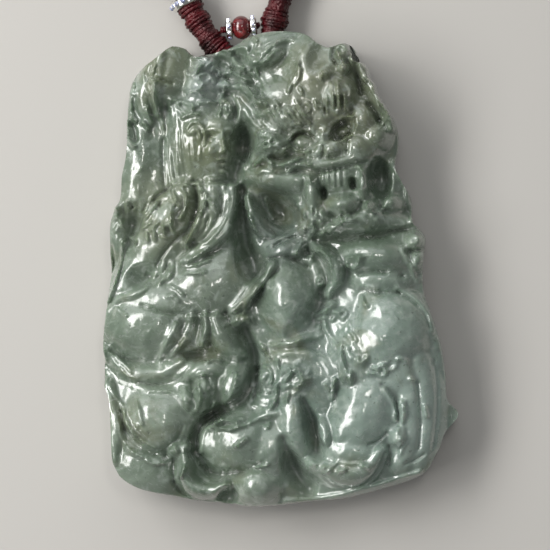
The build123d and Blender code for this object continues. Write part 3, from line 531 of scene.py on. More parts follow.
# Narrow ridges on top of the forms, in the same columns
ridges = [
    ("rim of the second ridge", [(-27.0, 89.4), (-26.0, 88.4), (-26.2, 85.4), (-25.4, 82.6)],
        (0.7, 0.8, 0.6), (14, 15, 8)),
    ("edge ridge", [(-31.2, 89.0), (-31.6, 85.0), (-31.2, 82.2)], (1.0, 1.1, 0.8), (7, 8, 6)),
    ("hood", [(-22.9, 85.6), (-23.3, 79.0), (-22.9, 72.0), (-22.4, 68.4)], (0.6, 0.7, 0.6), (6, 7, 6)),
    ("robe band, inner",
        [(-11.5, 67.4), (-11.0, 64.6), (-11.8, 60.4), (-14.2, 57.0), (-17.4, 54.2), (-20.6, 52.0)],
        (0.7, 0.9, 0.7), (13, 14, 9)),
    ("cuff", [(-4.6, 46.4), (-6.6, 42.6), (-7.2, 39.4)], (0.8, 1.0, 0.9), (16, 15, 12)),
    ("hem over the knee", [(-36.4, 41.6), (-33.6, 43.9), (-30.4, 44.9), (-28.0, 46.3), (-26.2, 48.8)],
        (0.7, 0.9, 0.7), (6, 12, 10)),
    ("tie", [(-25.2, 47.4), (-23.2, 48.9), (-22.6, 51.4)], (0.6, 0.9, 0.9), (8, 11, 9)),
    ("pleat 1", [(-21.4, 38.6), (-22.8, 35.2), (-25.4, 30.6)], (0.8, 1.0, 0.9), (14, 14, 10)),
    ("pleat 2", [(-19.4, 35.4), (-21.6, 33.0), (-24.2, 30.4)], (0.6, 0.8, 0.6), (10, 12, 9)),
    ("pleat 3", [(-18.2, 40.4), (-18.9, 37.4), (-20.2, 34.6)], (1.0, 1.2, 0.8), (12, 13, 8)),
    ("lower hem",
        [(-36.6, 28.6), (-33.6, 27.0), (-30.0, 25.6), (-26.0, 25.2), (-22.6, 24.8), (-20.2, 23.0)],
        (0.9, 1.0, 0.8), (3, 5, 4)),
    ("cloud rim", [(-33.0, 21.6), (-32.2, 18.2), (-30.2, 15.9), (-27.6, 13.9), (-25.4, 12.9)],
        (0.8, 1.0, 0.7), (5, 6, 5)),
    ("second cloud rim",
        [(-34.0, 19.6), (-33.6, 16.0), (-32.2, 13.4), (-29.8, 11.8), (-26.8, 10.6), (-24.2, 10.2)],
        (0.8, 1.1, 0.8), (4, 6, 5)),
    ("wave rim", [(-16.6, 12.0), (-16.4, 15.6), (-14.2, 18.0), (-10.6, 19.2), (-7.4, 19.0)],
        (0.7, 1.0, 0.7), (10, 15, 10)),
    ("bright rim", [(-6.0, 18.4), (-3.6, 19.6), (-0.6, 20.2)], (0.7, 0.9, 0.7), (8, 11, 8)),
    ("hem under the knee", [(-1.6, 34.3), (2.4, 34.6), (5.2, 35.6), (8.2, 36.2)],
        (0.7, 0.9, 0.7), (8, 10, 8)),
    ("arch", [(-1.2, 32.4), (3.6, 32.8), (7.6, 32.2), (10.0, 30.0), (10.8, 27.6)],
        (0.9, 1.2, 0.8), (4, 6, 4)),
    ("thumb", [(3.4, 53.4), (4.6, 55.0), (5.8, 56.4)], (0.9, 1.2, 1.0), (13, 14, 10)),
    ("inside the hook", [(6.4, 52.6), (7.6, 50.0), (8.2, 47.0)], (0.9, 1.2, 0.9), (8, 9, 9)),
    ("mane lock 1", [(-13.2, 95.4), (-10.9, 94.9), (-9.2, 93.2), (-7.0, 91.4), (-5.4, 90.8)],
        (1.0, 1.2, 0.7), (9, 11, 8)),
    ("mane lock 2", [(-13.4, 91.6), (-11.2, 91.3), (-8.6, 90.4), (-6.6, 89.2)],
        (1.0, 1.2, 0.8), (9, 10, 7)),
    ("mane lock 4", [(-9.8, 86.4), (-8.5, 83.2), (-8.8, 80.2)], (0.6, 0.8, 0.6), (7, 9, 6)),
    ("mane lock 5", [(-8.8, 85.6), (-7.2, 83.0), (-5.6, 80.6), (-4.2, 79.6)],
        (0.6, 0.8, 0.6), (6, 8, 6)),
    ("mane lock 6", [(-3.9, 87.6), (-3.8, 86.0), (-2.4, 84.6), (-0.2, 84.0)],
        (0.6, 0.8, 0.6), (7, 9, 7)),
    ("horn scroll, outer",
        [(-10.8, 95.8), (-8.6, 96.5), (-7.0, 96.0), (-6.6, 94.4), (-5.2, 93.1), (-3.2, 92.7)],
        (0.6, 0.8, 0.6), (9, 11, 9)),
    ("horn scroll, middle", [(-5.6, 95.3), (-3.4, 95.2), (-1.6, 96.4), (0.4, 97.5), (2.6, 97.8)],
        (0.6, 0.8, 0.5), (9, 11, 7)),
    ("horn scroll, inner", [(-3.4, 92.7), (-1.9, 94.0), (-0.2, 95.6)], (0.5, 0.7, 0.6), (11, 13, 10)),
    ("horn scroll, last", [(-1.8, 92.6), (-0.6, 93.8), (0.6, 94.9)], (0.5, 0.6, 0.5), (8, 10, 8)),
    ("cheek border", [(-9.8, 77.0), (-9.3, 73.6), (-7.6, 71.4)], (0.4, 0.6, 0.5), (6, 8, 7)),
    ("jaw curl", [(-5.4, 71.8), (-3.2, 73.0), (-1.4, 71.8)], (0.6, 0.9, 0.7), (9, 11, 9)),
    ("right cheek rim",
        [(23.4, 72.6), (24.6, 69.6), (26.3, 67.6), (26.4, 64.8), (27.4, 62.0), (27.2, 59.8)],
        (0.6, 0.8, 0.6), (8, 9, 7)),
    ("side strip", [(25.4, 54.6), (27.2, 51.2), (28.6, 47.6)], (0.7, 1.0, 0.7), (6, 8, 5)),
    ("back edge", [(24.6, 46.0), (28.4, 44.2), (30.8, 40.2), (32.6, 34.0)], (0.9, 1.2, 1.0), (6, 8, 5)),
    ("curl left of the haunch", [(7.2, 40.4), (9.4, 41.8), (11.2, 42.8)], (0.7, 1.0, 0.8), (9, 11, 9)),
    ("second curl", [(9.6, 41.0), (11.4, 41.2), (12.8, 40.2)], (0.6, 0.9, 0.7), (9, 11, 8)),
    ("leg border", [(9.2, 38.8), (10.2, 36.2), (12.0, 33.6), (12.5, 30.4), (12.9, 28.0)],
        (0.6, 0.9, 0.7), (10, 12, 9)),
]

# Fine carving, from the top left: name, half width, rise (below zero, how deep it cuts), lines
fine_lines = [
    # the left border and the side hair
    ("tall ridge, lit edge", 0.5, 4, [[(-26.0, 92.4), (-26.5, 90.8)]]),
    ("tall ridge, creases", 0.5, -4, [
        [(-26.6, 89.7), (-24.6, 89.5), (-22.4, 88.8)], [(-28.2, 90.8), (-27.6, 89.6)]]),
    ("second ridge", 0.5, 5, [
        [(-27.6, 88.6), (-27.2, 86.8)], [(-27.9, 83.6), (-27.3, 81.8), (-26.8, 80.6)],
        [(-25.4, 82.2), (-24.5, 80.2), (-24.4, 78.0)]]),
    ("edge scroll", 0.5, 7, [
        [(-32.0, 81.0), (-32.0, 78.2), (-31.2, 76.4), (-30.3, 75.7)], [(-31.0, 81.8), (-30.2, 81.0)],
        [(-28.8, 80.8), (-28.0, 80.0), (-27.6, 79.2)]]),
    ("edge scroll, inside", 0.7, -5, [[(-30.9, 80.2), (-30.4, 78.6), (-30.2, 77.0)]]),
    ("edge marks", 0.4, 4, [
        [(-30.9, 89.0), (-30.5, 88.2)], [(-31.6, 87.0), (-30.2, 86.6)], [(-31.3, 85.8), (-31.2, 83.6)]]),
    ("panel lines", 0.5, -3, [[(-24.5, 79.0), (-24.6, 73.0), (-24.2, 66.5)]]),
    ("hair strands", 0.36, 1.3, [
        [(-21.9, 79.0), (-21.7, 74.0), (-21.4, 69.6)], [(-20.9, 78.6), (-20.6, 73.0), (-20.0, 69.2)],
        [(-20.1, 78.0), (-19.6, 73.0), (-19.0, 69.4)], [(-19.2, 76.0), (-18.8, 72.0), (-18.4, 69.2)],
        [(-18.0, 77.2), (-17.9, 74.6), (-17.9, 72.6)], [(-16.4, 75.6), (-16.6, 74.0), (-16.8, 72.8)],
        [(-22.4, 84.0), (-22.5, 80.0), (-22.4, 75.0)]]),
    ("ear", 0.42, 4, [
        [(-19.4, 79.0), (-18.6, 80.2), (-17.2, 80.6), (-16.0, 79.4), (-15.4, 77.6), (-15.6, 75.8)],
        [(-18.8, 78.2), (-17.8, 79.2), (-16.8, 78.6), (-16.4, 77.2)], [(-18.0, 78.2), (-17.6, 78.5)]]),
    ("hair band", 0.5, 6, [[(-20.4, 81.6), (-18.6, 82.3), (-16.8, 82.3)]]),
    ("forehead curls", 0.46, 5, [
        [(-22.6, 85.2), (-21.8, 85.4)], [(-21.4, 84.2), (-20.6, 83.4), (-20.0, 82.8)],
        [(-19.9, 84.6), (-19.0, 84.6), (-18.2, 84.2), (-18.2, 83.2)]]),
    ("headdress curls", 0.4, 6.5, [
        [(-18.4, 94.0), (-16.6, 94.3), (-15.0, 93.9)], [(-14.3, 94.2), (-13.8, 92.8), (-14.2, 91.4)],
        [(-17.4, 90.8), (-17.0, 91.8), (-16.0, 92.6)],
        [(-16.8, 90.3), (-15.4, 90.8), (-14.6, 90.4), (-13.6, 89.0)], [(-19.6, 91.3), (-19.4, 90.4)],
        [(-16.9, 89.4), (-15.9, 88.7), (-16.2, 87.9), (-17.0, 87.2)],
        [(-19.6, 86.6), (-18.2, 87.0), (-17.0, 86.9), (-16.2, 86.2)],
        [(-13.2, 91.8), (-12.6, 91.2), (-13.2, 90.4)],
        [(-14.6, 84.8), (-13.2, 85.0), (-12.2, 86.0), (-11.6, 88.0)],
        [(-12.4, 84.8), (-12.3, 83.4), (-12.6, 82.2)]]),
    ("loop of hair", 0.4, 5, [
        [(-12.0, 84.6), (-11.2, 85.4), (-10.4, 84.6), (-10.2, 82.8), (-10.9, 81.6)],
        [(-11.3, 83.6), (-10.9, 82.8)]]),
    # the beast's mane, ear and forehead
    ("mane strands", 0.42, 6, [
        [(-12.9, 96.0), (-11.4, 95.8), (-10.4, 95.0)], [(-9.9, 94.2), (-9.0, 93.0), (-7.6, 91.8)],
        [(-10.2, 93.4), (-8.8, 92.2), (-7.4, 91.4)], [(-11.8, 91.0), (-9.6, 90.8), (-8.6, 90.4)],
        [(-8.4, 90.2), (-7.6, 89.8), (-7.0, 89.4)],
        [(-8.2, 88.2), (-6.8, 87.8), (-5.6, 86.4), (-4.6, 84.8), (-3.6, 84.0)],
        [(-5.0, 91.6), (-4.6, 90.2)], [(-3.6, 80.6), (-2.2, 79.6), (-0.6, 78.8)],
        [(-1.4, 80.8), (-0.6, 79.6), (0.2, 78.6)]]),
    ("mane channels", 0.5, -5, [
        [(-9.8, 88.9), (-7.6, 88.7), (-5.8, 88.6), (-4.6, 87.4), (-4.2, 86.2)],
        [(-10.6, 92.4), (-8.6, 91.6), (-6.4, 90.6), (-5.0, 88.8)],
        [(-6.4, 92.2), (-5.2, 90.8), (-4.4, 89.0), (-3.6, 87.0)],
        [(-9.6, 95.0), (-8.2, 94.0), (-6.8, 92.6)]]),
    ("forehead creases", 0.42, 5, [
        [(4.0, 92.8), (3.7, 90.8), (2.6, 88.6), (1.9, 86.6)], [(4.4, 91.4), (4.0, 89.6), (3.2, 88.2)],
        [(4.2, 87.5), (4.8, 86.3)]]),
    ("crown mark", 0.4, 4, [[(-5.7, 98.7), (-5.2, 98.3), (-4.8, 97.6)]]),
    ("behind the fringe", 0.7, -7, [
        [(15.8, 92.6), (16.2, 89.4), (16.8, 86.6)], [(18.4, 84.2), (19.7, 82.6), (20.4, 81.0)]]),
    ("fringe slots", 0.42, -5, [
        [(9.4, 83.8), (9.5, 82.0)], [(11.7, 85.4), (11.7, 83.2)], [(13.0, 85.4), (13.1, 83.2)],
        [(14.8, 83.8), (14.9, 82.2)]]),
    ("fringe strands", 0.4, 4, [
        [(9.9, 85.8), (9.8, 82.6)], [(11.2, 86.2), (11.2, 83.0)], [(12.4, 86.0), (12.4, 83.6)],
        [(13.6, 86.0), (13.6, 83.2)], [(9.0, 90.6), (8.7, 89.2)]]),
    ("top tuft", 0.45, 5, [[(11.9, 94.8), (12.6, 93.6), (13.2, 92.6)]]),
    ("top tuft, pit", 0.8, -8, [[(12.6, 95.6), (12.9, 95.5)]]),
    ("top tuft, edge", 0.5, -6, [[(11.2, 96.2), (10.9, 94.0), (11.6, 92.6)]]),
    ("right lock strands", 0.4, 6, [
        [(20.9, 84.8), (22.0, 83.2), (22.3, 81.6), (21.4, 80.4)],
        [(21.7, 84.2), (22.9, 82.4), (23.0, 80.8)], [(17.2, 89.4), (17.8, 88.6)],
        [(19.6, 87.6), (20.1, 86.6)]]),
    # the beast's face
    ("brow foot", 0.45, 6, [[(1.2, 79.1), (2.6, 79.3), (4.6, 79.8)]]),
    ("brow curls", 0.45, 5, [
        [(4.6, 83.2), (5.3, 82.0), (6.4, 81.2)], [(5.8, 84.2), (6.4, 83.6), (6.2, 82.6)],
        [(7.4, 84.6), (7.8, 83.4)]]),
    ("cheek curls", 0.45, 7, [
        [(-4.3, 78.4), (-3.2, 78.7), (-2.0, 77.9), (-1.0, 76.9), (0.3, 75.8)],
        [(-4.0, 77.5), (-2.6, 77.4), (-1.6, 76.8)], [(-3.4, 75.8), (-2.4, 76.4), (-1.8, 75.8)],
        [(-3.5, 74.9), (-2.2, 75.2), (-0.4, 75.2), (1.4, 74.8)], [(-0.6, 74.3), (0.8, 74.2), (1.8, 75.4)]]),
    ("under the cheek curls", 0.5, -5, [[(-3.6, 73.9), (-1.6, 73.3), (0.8, 73.0), (2.4, 73.8)]]),
    ("eyelids", 0.48, 7, [
        [(2.0, 77.0), (3.0, 78.2), (4.8, 78.9), (6.8, 78.4), (8.0, 76.8)],
        [(2.2, 75.6), (3.4, 74.6), (5.0, 74.2), (6.4, 74.6)],
        [(10.2, 77.8), (11.2, 79.8), (13.2, 81.2), (15.2, 81.4)],
        [(10.8, 77.0), (12.4, 76.6), (14.6, 77.6)]]),
    ("round the left eyeball", 0.4, -4, [
        [(2.7, 77.0), (3.8, 78.0), (5.4, 78.2), (7.2, 77.3)], [(2.9, 75.6), (4.4, 74.9), (6.2, 75.1)]]),
    ("round the right eyeball", 0.45, -5, [
        [(10.4, 77.4), (11.4, 79.6), (13.4, 80.8), (15.3, 81.0)],
        [(10.6, 77.0), (12.4, 76.9), (14.6, 78.4), (15.4, 80.4)]]),
    ("nose wing", 0.42, 4, [
        [(5.9, 73.2), (6.2, 74.8), (7.6, 75.8), (9.0, 76.0)], [(9.0, 77.8), (9.1, 76.6)],
        [(9.4, 76.0), (11.0, 76.3), (12.6, 75.8), (13.3, 74.8)]]),
    ("nostrils", 0.42, -2, [
        [(7.2, 73.0), (7.9, 72.5), (8.8, 72.9)], [(10.4, 73.2), (11.2, 72.8), (12.2, 73.3)]]),
    ("nose grooves", 0.42, -3, [[(9.2, 75.4), (9.0, 73.4)], [(14.2, 76.8), (14.1, 75.2), (14.0, 73.8)]]),
    ("lip folds", 0.45, 6, [
        [(0.8, 71.4), (2.2, 72.2), (3.6, 73.0)], [(2.4, 71.8), (3.6, 72.6), (4.9, 73.2)],
        [(1.8, 70.4), (3.2, 71.2), (4.8, 71.7), (6.4, 71.5)],
        [(-5.6, 71.6), (-4.6, 72.2), (-3.4, 73.1), (-2.4, 72.6), (-1.4, 71.4)]]),
    ("mouth line", 0.42, -5, [
        [(-0.6, 69.9), (2.0, 69.9), (5.0, 70.6), (8.6, 70.2), (12.0, 70.9), (15.0, 71.6), (18.0, 72.3)]]),
    ("tooth lines", 0.35, -2.5, [
        [(9.5, 70.2), (9.5, 67.6)], [(10.6, 70.4), (10.6, 67.2)], [(11.8, 70.6), (11.9, 67.2)],
        [(13.0, 70.8), (13.1, 67.4)], [(9.2, 67.2), (11.4, 66.9), (13.6, 67.2)]]),
    ("mouth pits", 0.85, -12, [[(9.0, 66.3), (9.1, 65.2)], [(15.0, 68.4), (15.1, 67.3)]]),
    ("mouth post ridges", 0.5, 5, [
        [(5.4, 69.4), (6.2, 69.0), (6.5, 67.8)], [(16.3, 71.2), (16.9, 70.4), (17.2, 69.4)],
        [(17.0, 66.8), (17.2, 66.4)]]),
    ("mouth post edges", 0.5, -4, [
        [(8.3, 70.0), (8.2, 67.0), (8.0, 64.4)], [(5.0, 68.0), (4.8, 65.0), (5.6, 62.8)]]),
    ("under the chin", 0.5, -3, [
        [(9.8, 61.4), (12.4, 60.9), (15.2, 61.6)], [(15.6, 61.8), (17.0, 64.0)],
        [(20.6, 62.0), (21.2, 64.4)]]),
    ("jaw ridge", 0.6, 4, [[(-4.6, 70.0), (-3.0, 70.4), (-1.8, 70.3)]]),
    ("beard strands", 0.42, 6, [
        [(6.4, 62.4), (6.9, 61.2)], [(7.7, 62.2), (7.7, 60.8)], [(8.8, 62.2), (8.9, 60.8)],
        [(10.4, 57.6), (11.6, 58.6), (12.6, 59.4)], [(9.6, 58.4), (10.8, 59.0)]]),
    ("beard curls", 0.45, 7, [
        [(4.2, 58.2), (4.8, 58.6), (5.2, 58.0), (4.7, 57.3)], [(5.9, 58.6), (6.8, 58.9), (7.4, 58.2)],
        [(6.6, 57.6), (7.6, 57.5)], [(8.2, 57.1), (9.0, 57.7), (9.4, 57.0)],
        [(11.4, 60.2), (12.4, 61.0), (12.8, 60.4)], [(13.6, 60.8), (14.4, 61.2)],
        [(17.9, 63.4), (18.5, 62.4)], [(19.0, 62.4), (19.4, 61.6)]]),
    # the left leaf and the figure's sleeve and robe
    ("leaf ridge", 0.5, 8, [[(-33.0, 56.0), (-33.5, 51.5), (-34.7, 46.8), (-36.2, 43.2)]]),
    ("leaf tip", 0.45, 6, [
        [(-34.8, 61.3), (-33.4, 60.2), (-32.7, 58.6)], [(-34.4, 63.0), (-33.8, 62.0)],
        [(-31.9, 64.3), (-30.9, 64.0), (-30.4, 62.8)]]),
    ("leaf cuts", 0.5, -7, [[(-35.6, 55.0), (-35.4, 52.0), (-35.6, 49.6)], [(-31.1, 63.2), (-30.9, 63.2)]]),
    ("sleeve leaves", 0.45, 6, [
        [(-22.4, 66.6), (-21.8, 65.0), (-20.9, 63.2)],
        [(-20.4, 67.0), (-19.4, 65.4), (-19.6, 63.0), (-20.6, 60.6)], [(-18.9, 66.6), (-18.6, 65.4)],
        [(-22.6, 63.4), (-22.5, 60.2)], [(-23.0, 59.6), (-22.0, 57.4)],
        [(-28.6, 61.8), (-27.6, 63.6), (-26.8, 64.9)], [(-28.4, 60.4), (-26.8, 62.4), (-25.9, 64.0)],
        [(-28.9, 58.4), (-26.9, 59.8)], [(-27.0, 58.2), (-25.2, 59.8)], [(-24.3, 59.4), (-24.0, 57.6)],
        [(-26.2, 58.2), (-26.0, 56.2)], [(-27.8, 57.6), (-27.6, 56.0)], [(-24.6, 56.8), (-23.6, 56.4)],
        [(-22.2, 67.6), (-20.6, 68.0), (-19.2, 67.4)], [(-31.6, 56.8), (-30.4, 56.4), (-30.2, 55.4)]]),
    ("sleeve edges", 0.55, -5, [
        [(-17.7, 67.4), (-17.3, 64.6), (-17.7, 61.6), (-19.3, 58.6), (-21.9, 56.2), (-24.3, 53.4),
            (-25.8, 51.0)],
        [(-22.8, 67.4), (-25.2, 65.8), (-27.5, 63.8), (-29.2, 61.0), (-30.0, 58.0)]]),
    ("lapel", 0.45, 6, [
        [(-16.4, 66.6), (-15.4, 65.6), (-15.6, 63.4), (-16.6, 61.4)],
        [(-17.6, 58.6), (-18.8, 56.6), (-19.6, 55.0)], [(-14.8, 64.4), (-13.6, 63.4), (-13.0, 61.8)],
        [(-18.0, 67.9), (-16.4, 68.3)]]),
    ("robe folds", 0.42, 5, [
        [(-16.0, 55.6), (-18.6, 53.8), (-21.0, 51.8)], [(-15.0, 54.4), (-17.2, 52.8), (-19.2, 51.8)],
        [(-14.6, 52.0), (-17.0, 51.0), (-19.6, 50.6)], [(-15.4, 49.6), (-17.6, 49.2), (-19.6, 49.4)],
        [(-22.8, 46.6), (-21.2, 45.8), (-20.0, 44.7)], [(-23.6, 44.3), (-22.6, 44.4), (-22.1, 44.9)],
        [(-22.0, 44.4), (-20.9, 43.4)], [(-34.2, 42.0), (-33.0, 41.0), (-31.9, 40.4)]]),
    ("robe edges", 0.5, -4, [
        [(-8.7, 66.8), (-8.4, 62.6), (-9.4, 58.6), (-12.2, 55.2), (-15.4, 52.6)],
        [(-18.2, 68.5), (-14.0, 68.2), (-9.4, 68.6)],
        [(-28.8, 42.5), (-25.0, 41.4), (-21.6, 40.8), (-17.0, 40.9), (-13.4, 41.0)],
        [(-27.4, 48.6), (-28.2, 49.2)], [(-14.9, 60.8), (-15.6, 58.4), (-17.6, 56.2), (-20.0, 54.2)]]),
    ("forearm edges", 0.5, -5, [
        [(-3.6, 49.6), (-6.2, 46.6), (-9.0, 42.9), (-11.6, 40.8)],
        [(-0.3, 50.2), (-3.6, 46.0), (-7.2, 40.6)]]),
    ("cuff lines", 0.42, 6, [
        [(-9.8, 39.0), (-8.6, 39.4), (-8.0, 38.8)], [(-9.6, 38.2), (-8.4, 38.5)],
        [(-6.6, 40.2), (-6.4, 38.8)], [(-5.8, 40.2), (-5.6, 39.2)], [(-4.6, 48.6), (-5.8, 47.2)],
        [(-3.8, 46.6), (-5.2, 44.4)]]),
    ("in the hollow", 0.5, 7, [
        [(-3.2, 64.8), (-2.9, 63.2), (-1.9, 61.2)],
        [(-6.6, 61.4), (-5.8, 59.8), (-5.0, 58.0), (-3.0, 56.6)], [(2.4, 59.6), (3.0, 59.2), (2.7, 58.6)],
        [(3.4, 63.6), (4.4, 62.4), (5.2, 60.8)], [(-7.7, 65.2), (-7.4, 62.8)]]),
    ("hand edges", 0.45, -7, [
        [(-1.2, 55.0), (0.8, 56.2), (3.2, 57.0)], [(-2.6, 52.2), (1.0, 52.7), (3.6, 51.9), (5.8, 50.6)]]),
    ("finger marks", 0.4, 5, [
        [(3.4, 53.4), (3.8, 54.2)], [(4.2, 55.6), (4.5, 56.2)], [(5.2, 52.4), (6.2, 51.6)],
        [(5.8, 52.9), (6.7, 52.1)]]),
    ("hook lines", 0.45, 6, [
        [(7.2, 53.9), (8.8, 53.7), (10.2, 52.2), (10.8, 50.4)],
        [(7.8, 47.6), (8.6, 48.2), (9.0, 47.2), (8.2, 46.8)]]),
    # the beast's shoulder, haunch and leg
    ("under the collar", 0.7, -5, [
        [(9.0, 56.4), (13.0, 56.3), (17.0, 57.0), (20.6, 56.9), (23.4, 58.0), (27.4, 59.0)]]),
    ("shoulder marks", 0.45, 6, [
        [(13.8, 52.2), (15.2, 52.5), (16.8, 52.5)], [(13.6, 51.4), (14.2, 50.6)],
        [(16.6, 52.2), (16.0, 50.8)], [(22.6, 49.3), (24.6, 49.0)],
        [(17.0, 46.6), (18.8, 46.2), (20.4, 45.7)], [(17.0, 44.4), (17.4, 43.4)],
        [(17.3, 42.8), (18.2, 42.4)]]),
    ("shoulder lines", 0.5, -4, [
        [(16.4, 49.0), (18.4, 49.5), (20.8, 49.6), (23.6, 49.2), (25.6, 48.6)],
        [(16.8, 46.0), (18.8, 45.5), (21.2, 45.1), (25.0, 45.2)],
        [(24.4, 45.4), (27.8, 43.2), (30.0, 40.8), (31.0, 37.8)],
        [(26.2, 53.8), (27.4, 51.6), (28.6, 48.6)], [(26.8, 53.8), (28.4, 54.0), (29.8, 54.2)]]),
    ("haunch curls", 0.5, 6, [
        [(20.2, 28.2), (21.6, 28.0), (21.9, 29.2), (21.4, 30.2)], [(18.4, 28.6), (19.6, 28.4)],
        [(17.2, 30.8), (18.2, 31.8)], [(24.4, 31.4), (25.4, 31.5), (26.4, 30.8)],
        [(27.0, 27.4), (27.8, 27.0)], [(19.4, 29.8), (20.4, 29.4)]]),
    ("leg curls", 0.45, 6, [
        [(7.4, 40.6), (9.2, 41.4), (10.8, 42.8)], [(7.6, 39.6), (9.0, 40.2)],
        [(12.8, 34.8), (12.9, 32.2), (13.6, 29.4), (14.6, 26.6)],
        [(8.2, 18.8), (8.1, 16.8), (8.4, 15.4), (9.8, 13.6)], [(11.5, 27.4), (11.0, 25.4), (10.8, 23.2)],
        [(9.4, 26.2), (10.2, 24.8)]]),
    ("leg lines", 0.45, -4, [
        [(8.5, 39.2), (9.0, 37.2), (10.4, 35.2), (11.6, 33.0), (12.0, 30.0), (12.3, 28.4)],
        [(22.0, 16.2), (20.4, 14.6), (18.6, 14.0)],
        [(21.2, 26.2), (23.2, 24.2), (24.2, 21.6), (24.4, 18.6), (23.6, 16.8)]]),
    ("fan beside the leg", 0.4, 4, [
        [(11.5, 27.4), (11.1, 25.2), (10.8, 23.0)], [(9.4, 26.4), (10.2, 24.9), (10.5, 23.4)],
        [(9.9, 27.0), (10.6, 25.6)]]),
    ("thigh edge", 0.5, 5, [[(21.6, 25.4), (22.6, 24.0), (23.7, 21.6), (23.9, 18.8)]]),
    ("paw edges", 0.5, -5, [
        [(8.6, 7.6), (11.0, 5.6), (14.4, 4.7), (17.8, 5.8), (20.4, 8.6), (21.9, 12.2)]]),
    ("paw rim", 0.45, 5, [
        [(11.6, 10.3), (14.2, 9.8), (16.6, 9.8), (18.4, 8.9)], [(17.0, 9.9), (18.4, 9.1)]]),
    ("paw marks", 0.5, 5, [
        [(17.0, 9.6), (18.6, 8.9)], [(6.8, 10.0), (7.4, 9.6)], [(12.6, 8.4), (13.6, 8.6)]]),
    ("tail strands", 0.5, 6, [
        [(25.1, 22.8), (25.7, 20.6), (25.3, 18.2)], [(24.0, 16.4), (25.3, 14.6), (24.7, 13.4)],
        [(30.0, 21.6), (30.4, 19.6)]]),
    ("tail edges", 0.5, -3, [
        [(28.4, 26.6), (28.9, 22.0), (29.1, 17.6), (28.8, 13.0)], [(22.6, 13.4), (22.6, 9.6)],
        [(31.8, 31.0), (32.5, 26.0), (32.5, 20.0), (31.7, 13.0)],
        [(26.0, 9.8), (28.2, 10.6), (29.8, 11.6)]]),
    # the hems, the feet, the clouds and the waves
    ("hem ridges", 0.42, 3, [
        [(-34.3, 31.9), (-32.8, 30.4), (-31.2, 28.8)], [(-33.5, 29.4), (-31.9, 27.9), (-29.8, 27.2)],
        [(-37.2, 34.6), (-36.9, 32.4), (-36.6, 30.6)], [(-35.6, 25.6), (-34.4, 23.6), (-33.2, 21.8)],
        [(-0.4, 34.8), (2.6, 34.8), (4.8, 35.6)],
        [(-27.6, 24.7), (-25.0, 24.7), (-22.8, 24.6), (-21.0, 23.2)]]),
    ("hem cuts", 0.5, -3, [
        [(-35.6, 33.2), (-32.6, 31.4), (-29.0, 30.9), (-26.2, 31.4)],
        [(-29.8, 26.7), (-26.4, 26.0), (-23.0, 26.4), (-20.0, 28.2), (-17.4, 31.2)],
        [(-1.0, 33.4), (2.2, 33.5), (5.2, 33.9), (7.8, 33.2)],
        [(-21.9, 36.4), (-23.0, 34.0), (-24.6, 31.4)]]),
    ("paw and toe ridges", 0.45, 7, [
        [(-8.9, 28.4), (-9.2, 25.8), (-10.4, 23.4), (-12.2, 21.6)],
        [(-16.9, 26.2), (-16.4, 23.6), (-17.4, 20.4)], [(-16.6, 28.1), (-15.4, 28.4), (-14.6, 28.1)],
        [(-15.2, 30.8), (-13.8, 31.5), (-12.4, 31.2)], [(-13.6, 22.4), (-14.4, 20.6)]]),
    ("toe lines", 0.5, -4, [
        [(-11.2, 28.4), (-12.2, 25.6), (-12.6, 22.4)], [(-15.0, 27.8), (-14.4, 25.2), (-14.6, 21.6)],
        [(-18.5, 26.8), (-18.3, 23.6), (-18.7, 20.4)]]),
    ("cloud lines", 0.4, 4.5, [
        [(-32.7, 20.8), (-32.1, 18.3), (-30.6, 16.2), (-28.2, 14.2), (-25.8, 12.9)],
        [(-33.5, 18.2), (-33.2, 16.0), (-32.4, 13.9), (-31.0, 12.3), (-28.6, 11.0)],
        [(-27.8, 10.4), (-26.4, 9.6), (-24.0, 9.8)], [(-29.9, 22.8), (-29.2, 20.6), (-28.5, 17.8)],
        [(-21.9, 13.4), (-21.4, 12.2)]]),
    ("cloud cuts", 0.5, -3, [
        [(-33.4, 20.6), (-32.8, 17.4), (-31.2, 14.6), (-28.6, 12.6), (-26.0, 11.6)],
        [(-20.4, 17.4), (-21.6, 14.6), (-23.6, 12.6), (-24.0, 10.6)]]),
    ("wave curls", 0.45, 7, [
        [(-13.5, 18.8), (-13.3, 17.6), (-12.3, 17.0)], [(-12.4, 19.0), (-10.4, 18.6), (-8.8, 18.4)],
        [(-11.8, 17.1), (-10.2, 16.9), (-8.6, 17.5)], [(-9.2, 13.2), (-8.0, 14.2), (-6.9, 15.0)],
        [(-5.6, 9.0), (-4.0, 9.2), (-2.6, 9.5)], [(-19.7, 9.4), (-20.2, 7.9), (-20.8, 6.8)],
        [(-2.6, 17.2), (-2.2, 18.0)]]),
    ("wave cuts", 0.5, -4, [
        [(-22.4, 5.6), (-21.0, 3.7), (-18.4, 2.4), (-15.2, 1.7), (-12.6, 2.2)],
        [(-16.6, 9.0), (-14.0, 7.4), (-10.0, 7.6), (-6.6, 8.6), (-3.4, 10.2)],
        [(-22.4, 10.6), (-22.6, 8.0), (-22.4, 5.8)]]),
    ("scroll ridges", 0.48, 7, [
        [(-3.6, 30.0), (-2.3, 29.4), (-1.7, 27.6), (-2.2, 26.0)],
        [(-5.6, 21.9), (-3.0, 20.9), (-1.6, 21.6), (-0.9, 23.4), (-0.7, 26.0)],
        [(0.6, 29.6), (1.6, 30.0), (2.3, 29.0), (1.7, 27.6), (0.9, 26.8)],
        [(-0.6, 31.2), (-0.4, 30.0), (-0.2, 29.0)], [(3.2, 29.2), (4.4, 28.2), (4.8, 26.6)],
        [(1.8, 24.2), (1.4, 22.8)], [(-4.1, 34.3), (-3.2, 33.7)], [(-3.8, 33.5), (-2.9, 32.9)],
        [(-3.0, 32.4), (-2.2, 31.6)]]),
    ("scroll cuts", 0.5, -8, [
